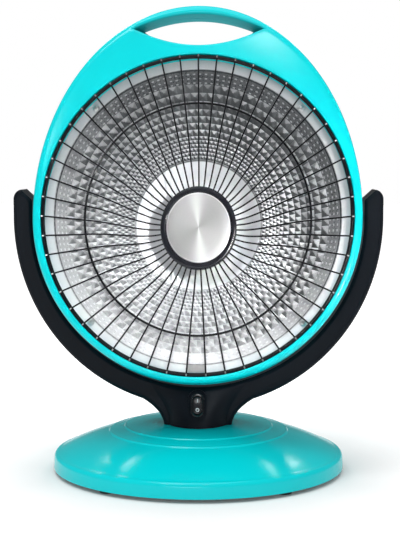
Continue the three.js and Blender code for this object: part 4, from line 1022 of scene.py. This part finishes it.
def housing_rear():
    """The rear shell: bowl and flange outside, the same inside by the wall's thickness, and the
    handle opening through the flange."""
    angle, grip = head_angles()
    count = len(grip)
    front = PARTING + GAP
    rim = [side - WALL_TAPER for side in RIM]
    share = front / FLANGE_BACK
    middle = np.zeros((len(angle), 2))
    outer_rim = [
        at_depth(oval_curve(rim, angle, -0.4 * t), front + (22.5 - front) * t) for t in np.linspace(0, 1, 4)
    ]
    for turn in np.linspace(0, 90, 6)[1:]:
        shift = -0.4 - 3.0 * (1 - math.cos(math.radians(turn)))
        depth = 22.5 + 3.5 * math.sin(math.radians(turn))
        outer_rim.append(at_depth(oval_curve(rim, angle, shift), depth))
    back_upper = at_depth(spaced(oval_curve(rim, angle, -3.4), grip_edge(1.0, True), 12)[1:], FLANGE_BACK)
    back_lower = at_depth(spaced(grip_edge(1.0, False), oval_curve(BOWL_SIZE, angle), 10), FLANGE_BACK)
    front_upper = at_depth(spaced(grip_edge(share, True), oval_curve(rim, angle), 4), front)
    inside = oval_curve(BOWL_SIZE, angle, -SHELL_WALL)
    front_lower = at_depth(spaced(inside, grip_edge(share, False), 4), front)
    outside_end = at_depth(middle, FLANGE_BACK + BOWL_LENGTH)
    inside_end = at_depth(middle, FLANGE_BACK + BOWL_LENGTH - SHELL_WALL)
    strips = [
        [front_upper, outer_rim[1:], back_upper],
        [back_lower, bowl_rows(angle, 0.0, 30)[1:], outside_end[None]],
        [inside_end[None], bowl_rows(angle, -SHELL_WALL, 18)[::-1], front_lower],
    ]
    grids = [(np.concatenate(strip), False, True) for strip in strips]
    for is_upper in (False, True):
        first = at_depth(grip_edge(share, is_upper)[:count], front)
        grids.append((grip_wall(first, share, 1.0, is_upper, FLANGE_BACK, 5), False, False))
    return grids


# reflector and guard


def dish_depth(radius):
    """A parabola from the border to the cup's edge: depth goes with the square of the radius."""
    t = (BORDER_RADIUS ** 2 - radius ** 2) / (BORDER_RADIUS ** 2 - CUP_RADIUS ** 2)
    return FLANGE_FRONT + (CUP_EDGE_DEPTH - FLANGE_FRONT) * t


# rings of pyramids: outer radius, inner radius, rows, pyramids round, height
PYRAMID_BANDS = (
    (133.0, 112.0, 3, 90, 1.0),
    (112.0, 88.0, 4, 90, 0.95),
    (88.0, 66.5, 6, 120, 0.6),
)
DIMPLE_COLUMNS = 720
RINGS_A_ROW = 7
PYRAMID_LEAN = 0.55


def pyramid(u, v):
    """A four-sided pyramid on a unit cell: one in the middle, falling to nothing at the sides with
    the larger of the two distances from the middle."""
    return 1 - np.maximum(np.abs(2 * (u % 1) - 1), np.abs(2 * (v % 1) - 1))


def oval_ring(angle, radius, depth):
    """A ring of the face at a radius and a depth."""
    return np.stack([radius * np.cos(angle), depth + 0 * angle, radius * np.sin(angle) * OVAL], -1)


def embossed_rings(angle, height_scale):
    """The rings of the bands of pyramids. A band is a grid of cells in angle and radius, every
    other row half a cell round. A pyramid moves a point out of the sheet and a share of that
    towards the axis."""
    rng = np.random.default_rng(7)
    rings = []
    for outer, inner, count, around, height in PYRAMID_BANDS:
        for i in range(count):
            tall = 0.75 + 0.5 * rng.random(around)
            cell = angle * around / (2 * np.pi) + 0.5 * (i % 2)
            tall = tall[np.floor(cell).astype(int) % around]
            for j in range(RINGS_A_ROW + (i == count - 1)):
                radius = outer + (inner - outer) * (i + j / RINGS_A_ROW) / count
                bump = pyramid(cell, np.full_like(cell, j / RINGS_A_ROW)) * tall
                lift = bump * height * height_scale * 2.0
                rings.append(oval_ring(angle, radius - lift * PYRAMID_LEAN, dish_depth(radius) - lift))
    return rings


def reflector_grids(height_scale):
    """The sheet's front with its pyramids and its cup, and its plain back, as one closed section."""
    angle = np.linspace(0, 2 * np.pi, DIMPLE_COLUMNS, endpoint=False)
    start = [(FLANGE_RADIUS, 0.0), (FLANGE_RADIUS - 1, 0.0), (BORDER_RADIUS + 1.5, 0.0)]
    start += [(BORDER_RADIUS + 0.6, 0.0), (BORDER_RADIUS, 0.9), (BORDER_RADIUS - 0.8, 1.1)]
    front = [oval_ring(angle, radius, FLANGE_FRONT + sunk) for radius, sunk in start]
    front += [oval_ring(angle, r, dish_depth(r)) for r in np.linspace(BORDER_RADIUS - 3, 133.5, 5)]
    front += embossed_rings(angle, height_scale)
    floor_back = CUP_FLOOR_DEPTH + SHEET
    cup = polyline(
        [(CUP_RADIUS + 0.8, CUP_EDGE_DEPTH - 0.5), (CUP_RADIUS, CUP_EDGE_DEPTH + 0.6)],
        [(61.0, 67.0), (56.0, 75.5), (49.0, 83.5), (43.0, 88.6), (CUP_FLOOR_RADIUS + 2, 91.4)],
        [(CUP_FLOOR_RADIUS - 2, CUP_FLOOR_DEPTH), (CORE_HOLE, CUP_FLOOR_DEPTH), (CORE_HOLE, floor_back)],
    )
    back = polyline(
        [(CUP_FLOOR_RADIUS, floor_back), (50.0, 83.5 + SHEET), (CUP_RADIUS + 1, CUP_EDGE_DEPTH + 2 * SHEET)],
        [(r, dish_depth(r) + 1.6) for r in (90.0, 115.0, 135.0)],
        [(BORDER_RADIUS, FLANGE_FRONT + SHEET + 1), (FLANGE_RADIUS, FLANGE_FRONT + SHEET)],
    )
    rest, _, _ = turned(polyline(cup, back), DIMPLE_COLUMNS, "Y", OVAL)
    return [(np.concatenate([np.array(front), rest]), True, True)]


# radius and depth of a wire, from its bare tip on the ledge over the outer ring and the middle
# ring down to the hub
WIRE_KNOTS = (
    (157.0, 1.4), (154.6, 1.5), (150.0, 3.6), (137.0, 11.5), (115.5, 23.6),
    (92.0, 36.0), (66.0, 49.5), (50.0, 57.2), (44.0, 58.0), (36.0, 58.0),
)


def wire_path(turn, count=26):
    """A guard wire in the plane through the axis at a turn from straight up. Past the middle ring
    it drops with the hub."""
    share = np.linspace(0, 1, count)
    knot_share = np.linspace(0, 1, len(WIRE_KNOTS))
    radius, depth = [np.interp(share, knot_share, knots) for knots in np.array(WIRE_KNOTS).T]
    drop = HUB_DROP * smooth_step((depth - MIDDLE_RING_DEPTH) / (HUB_DEPTH - MIDDLE_RING_DEPTH))
    return np.stack([radius * math.sin(turn), depth, radius * math.cos(turn) * OVAL - drop], -1)


def ring_tube(radius, depth, wire, sides):
    """A ring of round wire in the face's frame."""
    angle = np.linspace(0, 2 * np.pi, RING_COLUMNS, endpoint=False)
    return tube(oval_ring(angle, radius, depth), wire, sides, closed=True)


# what a user may change


def colour(name, description, default):
    return FloatVectorProperty(
        name=name, description=description, subtype="COLOR", default=default, min=0, max=1
    )


class HeaterLook(PropertyGroup):
    """Colours and sizes of the heater that a user would change."""

    teal: colour("Shell", "Colour of the head's shells and the base", (0.0003, 0.61, 0.65))
    black: colour("Yoke", "Colour of the yoke's shells", (0.003, 0.005, 0.0085))
    aluminium: colour("Reflector", "Brightest tone of the reflector", (0.9, 0.92, 0.94))
    cap: colour("Cap", "Brightest tone of the centre cap", (0.96, 0.96, 0.97))
    wire: colour("Guard", "Colour of the guard's enamel", (0.0015, 0.002, 0.004))
    wire_count: IntProperty(name="Wires", description="Wires of the guard", default=51, min=12, max=120)
    wire_radius: FloatProperty(
        name="Wire radius", description="Radius of a guard wire in millimetres", default=0.85, min=0.3, max=3
    )
    pyramid_height: FloatProperty(
        name="Embossing", description="Height of the reflector's pyramids, as a share of the usual",
        default=1.0, min=0, max=2,
    )
    lamp_power: FloatProperty(
        name="Lamps", description="Power of the key lamp in watts", default=8.0, min=0, max=200
    )


# operators


class HEATER_OT_stage(Operator):
    """Floor, background, lamps and the camera at the photographed angle"""

    bl_idname = "heater.stage"
    bl_label = "Stage"

    def execute(self, context):
        scene = context.scene
        scene.view_settings.view_transform = "Standard"
        world = bpy.data.worlds.new("studio")
        world.use_nodes = True
        scene.world = world
        studio = Nodes(world.node_tree)
        seen = studio.ray("Is Camera Ray").math("MAXIMUM", studio.ray("Is Transmission Ray"))
        reflected = studio.ray("Is Glossy Ray") * (REFLECTED_LIGHT - SOFT_LIGHT)
        level = SOFT_LIGHT + reflected + seen * (1.0 - SOFT_LIGHT)
        background = world.node_tree.nodes["Background"]
        background.inputs["Color"].default_value = (1.0, 1.0, 1.0, 1.0)
        world.node_tree.links.new(level.socket, background.inputs["Strength"])

        edge = np.array([-FLOOR_REACH, FLOOR_REACH])
        sheet = np.stack([*np.meshgrid(edge, edge), np.zeros((2, 2))], -1)
        floor = bpy.data.objects.new("floor", mesh_from("floor", [(sheet, False, False)], as_is))
        scene.collection.objects.link(floor)
        paint = Paint("pale_floor", Roughness=0.9, Base_Color=(0.86, 0.86, 0.86, 1.0), Specular_IOR_Level=0.0)
        x, y = paint.parts(paint.coordinates())[:2]
        far = (x * x + y * y).math("SQRT").above(2 * BASE_RADIUS, 2 * BASE_RADIUS)
        lift = paint.ray("Is Camera Ray") * (FLOOR_LIFT[0] + far * (FLOOR_LIFT[1] - FLOOR_LIFT[0]))
        paint.feed("Emission Color", paint.mix(lift, (0.0, 0.0, 0.0), (1.0, 1.0, 1.0)))
        paint.shader.inputs["Emission Strength"].default_value = 1.0
        floor.data.materials.append(paint.material)

        power = scene.heater_look.lamp_power
        for name, place, aim, wide, tall, share, spread in LAMPS:
            lamp = bpy.data.lights.new(name, "AREA")
            lamp.shape, lamp.size, lamp.size_y = "RECTANGLE", wide, tall
            lamp.energy = power * share
            lamp.spread = math.radians(spread)
            holder = bpy.data.objects.new(name, lamp)
            scene.collection.objects.link(holder)
            holder.location = place
            holder.rotation_euler = (Vector(aim) - Vector(place)).to_track_quat("-Z", "Y").to_euler()

        camera = bpy.data.cameras.new("camera")
        camera.lens = CAMERA_LENS
        camera.clip_start = 0.05
        camera.clip_end = 30.0
        holder = bpy.data.objects.new("camera", camera)
        scene.collection.objects.link(holder)
        turn = math.radians(CAMERA_AZIMUTH)
        holder.location = (CAMERA_DISTANCE * math.sin(turn), -CAMERA_DISTANCE * math.cos(turn), CAMERA_HEIGHT)
        holder.rotation_euler = (math.radians(90 - CAMERA_PITCH), 0.0, turn - math.radians(CAMERA_YAW))
        scene.camera = holder
        return {"FINISHED"}


class HEATER_OT_inner_pieces(Operator):
    """Finishes of the CAD pieces that are shown as they are"""

    bl_idname = "heater.inner_pieces"
    bl_label = "Inner pieces"

    def execute(self, context):
        for row in frame["record"]["subparts"]:
            node = frame["nodes"][row["node"]]
            node.data.materials.clear()
            node.data.materials.append(finish(row["material_slot"]))
        return {"FINISHED"}


class HEATER_OT_base(Operator):
    """Base shell with the notch for the inlet, feet and plate screws"""

    bl_idname = "heater.base"
    bl_label = "Base"

    def execute(self, context):
        half = INLET[0] / 2 + GAP
        top = BASE_BOTTOM + INLET[1] + GAP
        notch = box_grid((-half, BASE_RADIUS - 12, 0.0), (half, BASE_RADIUS + 5, top))
        shell = [turned(base_profile(), 256)]
        piece("base_dome", shell, "stand", "teal_shell", ["base_shell"], sharp=40, cutters=[[notch]])
        for i, degrees in enumerate(mirrored(FOOT_ANGLE)):
            x, y = circle_place(FOOT_CIRCLE, degrees)
            piece(f"rubber_foot_{i + 1}", [turned(foot_profile(), 40, shift=(x, y, 0), full=False)], "stand",
                  "rubber", [f"foot_{i + 1}"])
        for i, degrees in enumerate(mirrored(BASE_SCREW_ANGLE)):
            x, y = circle_place(BASE_SCREW_CIRCLE, degrees)
            piece(f"plate_screw_{i + 1}", screw_grids((x, y, PLATE_BOTTOM - GAP), pointing_up), "stand",
                  "steel", [f"base_screw_{i + 1}"])
        return {"FINISHED"}


class HEATER_OT_yoke(Operator):
    """Front and rear shells of the yoke, with the pocket of the power switch"""

    bl_idname = "heater.yoke"
    bl_label = "Yoke"

    def execute(self, context):
        pocket = slot_prism(POCKET_SIZE, -12.0, POCKET_DEPTH)
        hole = slot_prism([side + 2 * GAP for side in SWITCH_SIZE], -12.0, 18.0)
        for side, name, tools in ((-1, "yoke_front", [pocket, hole]), (1, "yoke_rear", [])):
            piece(name, yoke_half(side), "stand", "black_shell", [name + "_shell"], sharp=38, cutters=tools)
        return {"FINISHED"}


class HEATER_OT_switch(Operator):
    """Housing and rocker of the power switch"""

    bl_idname = "heater.switch"
    bl_label = "Power switch"

    def execute(self, context):
        half = SWITCH_SIZE[0] / 2
        straight = SWITCH_SIZE[1] / 2 - half
        key, rise = ROCKER_SIZE[0] / 2, ROCKER_SIZE[1] / 2
        well = key + GAP
        well_straight = rise + 1.2 - well
        frame_rows = [
            (0.0, 14.8, 0.0), (half, 14.8, straight), (half, 0.6, straight), (half - 0.3, 0.05, straight),
            (half - 0.8, -0.2, straight), (half - 1.3, -0.1, straight), (well + 0.2, 0.35, well_straight),
            (well, 0.7, well_straight), (well, 10.8, well_straight), (0.0, 10.8, 0.0),
        ]
        piece("switch_frame", [(slot_rings(frame_rows, 72), False, True)], "stand", "gloss_switch",
              ["switch_housing"], place=switch_to_world)
        shares = [(0, 0), (0.35, 0), (0.7, 0), (0.92, 0.05), (0.98, 0.2), (1, 0.45), (0.97, 5), (0, 5)]
        rings = slot_rings([(s * key, depth, (rise - key) * min(1, s / 0.7)) for s, depth in shares], 72)
        slope = rise * math.tan(math.radians(6.0))
        z = rings[:-2, :, 2] / rise
        rings[:-2, :, 1] += np.where(z > 0, -(slope + 1.0) * z, -slope * 0.45 * z)
        piece("switch_key", [(rings, False, True)], "power_rocker", "gloss_switch", ["switch_rocker"],
              place=switch_to_world)
        return {"FINISHED"}


class HEATER_OT_housings(Operator):
    """Bezel and bowl of the head, with the carry handle"""

    bl_idname = "heater.housings"
    bl_label = "Head housings"

    def execute(self, context):
        head_piece("head_bezel", housing_front(), "teal_shell", ["front_housing"], sharp=40)
        count, wide, tall, pitch = VENTS
        end = FLANGE_BACK + BOWL_LENGTH
        vents = []
        for i in range(count):
            z = (i - (count - 1) / 2) * pitch
            vents.append([box_grid((-wide / 2, end - 8, z - tall / 2), (wide / 2, end + 5, z + tall / 2))])
        head_piece("head_bowl", housing_rear(), "teal_shell", ["rear_housing"], sharp=40, cutters=vents)
        return {"FINISHED"}


class HEATER_OT_reflector(Operator):
    """Embossed dish and its screws"""

    bl_idname = "heater.reflector"
    bl_label = "Reflector"

    def execute(self, context):
        grids = reflector_grids(context.scene.heater_look.pyramid_height)
        head_piece("dish", grids, "reflector_aluminium", ["reflector"], sharp=14)
        for i, degrees in enumerate((45, 135, 225, 315)):
            x, z = circle_place(REFLECTOR_SCREW_RADIUS, degrees)
            screw = screw_grids((x, FLANGE_FRONT - GAP, z * OVAL), into_face)
            head_piece(f"dish_screw_{i + 1}", screw, "steel", [f"reflector_screw_{i + 1}"])
        return {"FINISHED"}


class HEATER_OT_guard(Operator):
    """Wires, rings and hub plate of the guard"""

    bl_idname = "heater.guard"
    bl_label = "Guard"

    def execute(self, context):
        look = context.scene.heater_look
        grids = [ring_tube(RING_RADIUS, RING_DEPTH, RING_WIRE, 12)]
        for i in range(look.wire_count):
            grids.append(tube(wire_path(2 * math.pi * i / look.wire_count), look.wire_radius, 8))
        hub = [(2.3, HUB_DEPTH), (HUB_RADIUS, HUB_DEPTH), (HUB_RADIUS, HUB_BACK), (2.3, HUB_BACK)]
        grids.append(turned(hub, 96, "Y", OVAL, shift=(0, 0, -HUB_DROP)))
        nodes = ["guard_hub"] + [f"guard_sector_{i + 1}" for i in range(GUARD_SECTORS)]
        head_piece("wire_guard", grids, "guard_enamel", nodes)
        head_piece("guard_ring", [ring_tube(MIDDLE_RING, MIDDLE_RING_DEPTH, MIDDLE_WIRE, 10)],
                   "guard_enamel", ["guard_middle_ring"])
        return {"FINISHED"}


class HEATER_OT_cap(Operator):
    """Centre cap and its bezel"""

    bl_idname = "heater.cap"
    bl_label = "Centre cap"

    def execute(self, context):
        seat = BEZEL_FRONT + 2.7
        centre = (0, 0, -HUB_DROP)
        bezel = polyline(
            [(0, seat), (CAP_RADIUS + 0.3, seat), (CAP_RADIUS + 0.7, BEZEL_FRONT + 0.3)],
            arc((CAP_RADIUS + 1.6, BEZEL_FRONT + 0.9), (0.9, 0.9), 200, 270, 4),
            arc((BEZEL_RADIUS - 2.6, BEZEL_FRONT + 2.6), (2.6, 2.6), 270, 360, 8),
            [(BEZEL_RADIUS, BEZEL_BACK), (2, BEZEL_BACK), (2, HUB_BACK + 5), (0, HUB_BACK + 5)],
        )
        head_piece("cap_rim", [turned(bezel, 128, "Y", CAP_OVAL, centre, full=False)], "black_trim",
                   ["cap_bezel"])
        back = seat - GAP
        disc = polyline(
            [(0, back - 2.0), (12, back - 1.98), (24, back - 1.9), (32, back - 1.72)],
            arc((CAP_RADIUS - 0.8, back - 0.8), (0.8, 0.75), 262, 360, 6),
            [(CAP_RADIUS, back), (0, back)],
        )
        head_piece("cap_disc", [turned(disc, 128, "Y", CAP_OVAL, centre, full=False)], "brushed_cap",
                   ["centre_cap"], sharp=60)
        return {"FINISHED"}


class HEATER_PT_panel(Panel):
    """Sidebar panel that lists the heater's pieces"""

    bl_idname = "HEATER_PT_panel"
    bl_label = "Parabolic heater"
    bl_space_type = "VIEW_3D"
    bl_region_type = "UI"
    bl_category = "Heater"

    def draw(self, context):
        look = context.scene.heater_look
        for name in HeaterLook.__annotations__:
            self.layout.prop(look, name)
        for step in STEPS:
            self.layout.operator(step.bl_idname)


STEPS = (
    HEATER_OT_stage,
    HEATER_OT_inner_pieces,
    HEATER_OT_base,
    HEATER_OT_yoke,
    HEATER_OT_switch,
    HEATER_OT_housings,
    HEATER_OT_reflector,
    HEATER_OT_guard,
    HEATER_OT_cap,
)
CLASSES = (HeaterLook, *STEPS, HEATER_PT_panel)


def register():
    for cls in CLASSES:
        bpy.utils.register_class(cls)
    bpy.types.Scene.heater_look = PointerProperty(type=HeaterLook)


def unregister():
    del bpy.types.Scene.heater_look
    for cls in reversed(CLASSES):
        bpy.utils.unregister_class(cls)


def main():
    """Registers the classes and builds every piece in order."""
    register()
    for step in STEPS:
        group, name = step.bl_idname.split(".")
        getattr(getattr(bpy.ops, group), name)()


if __name__ == "__main__":
    main()
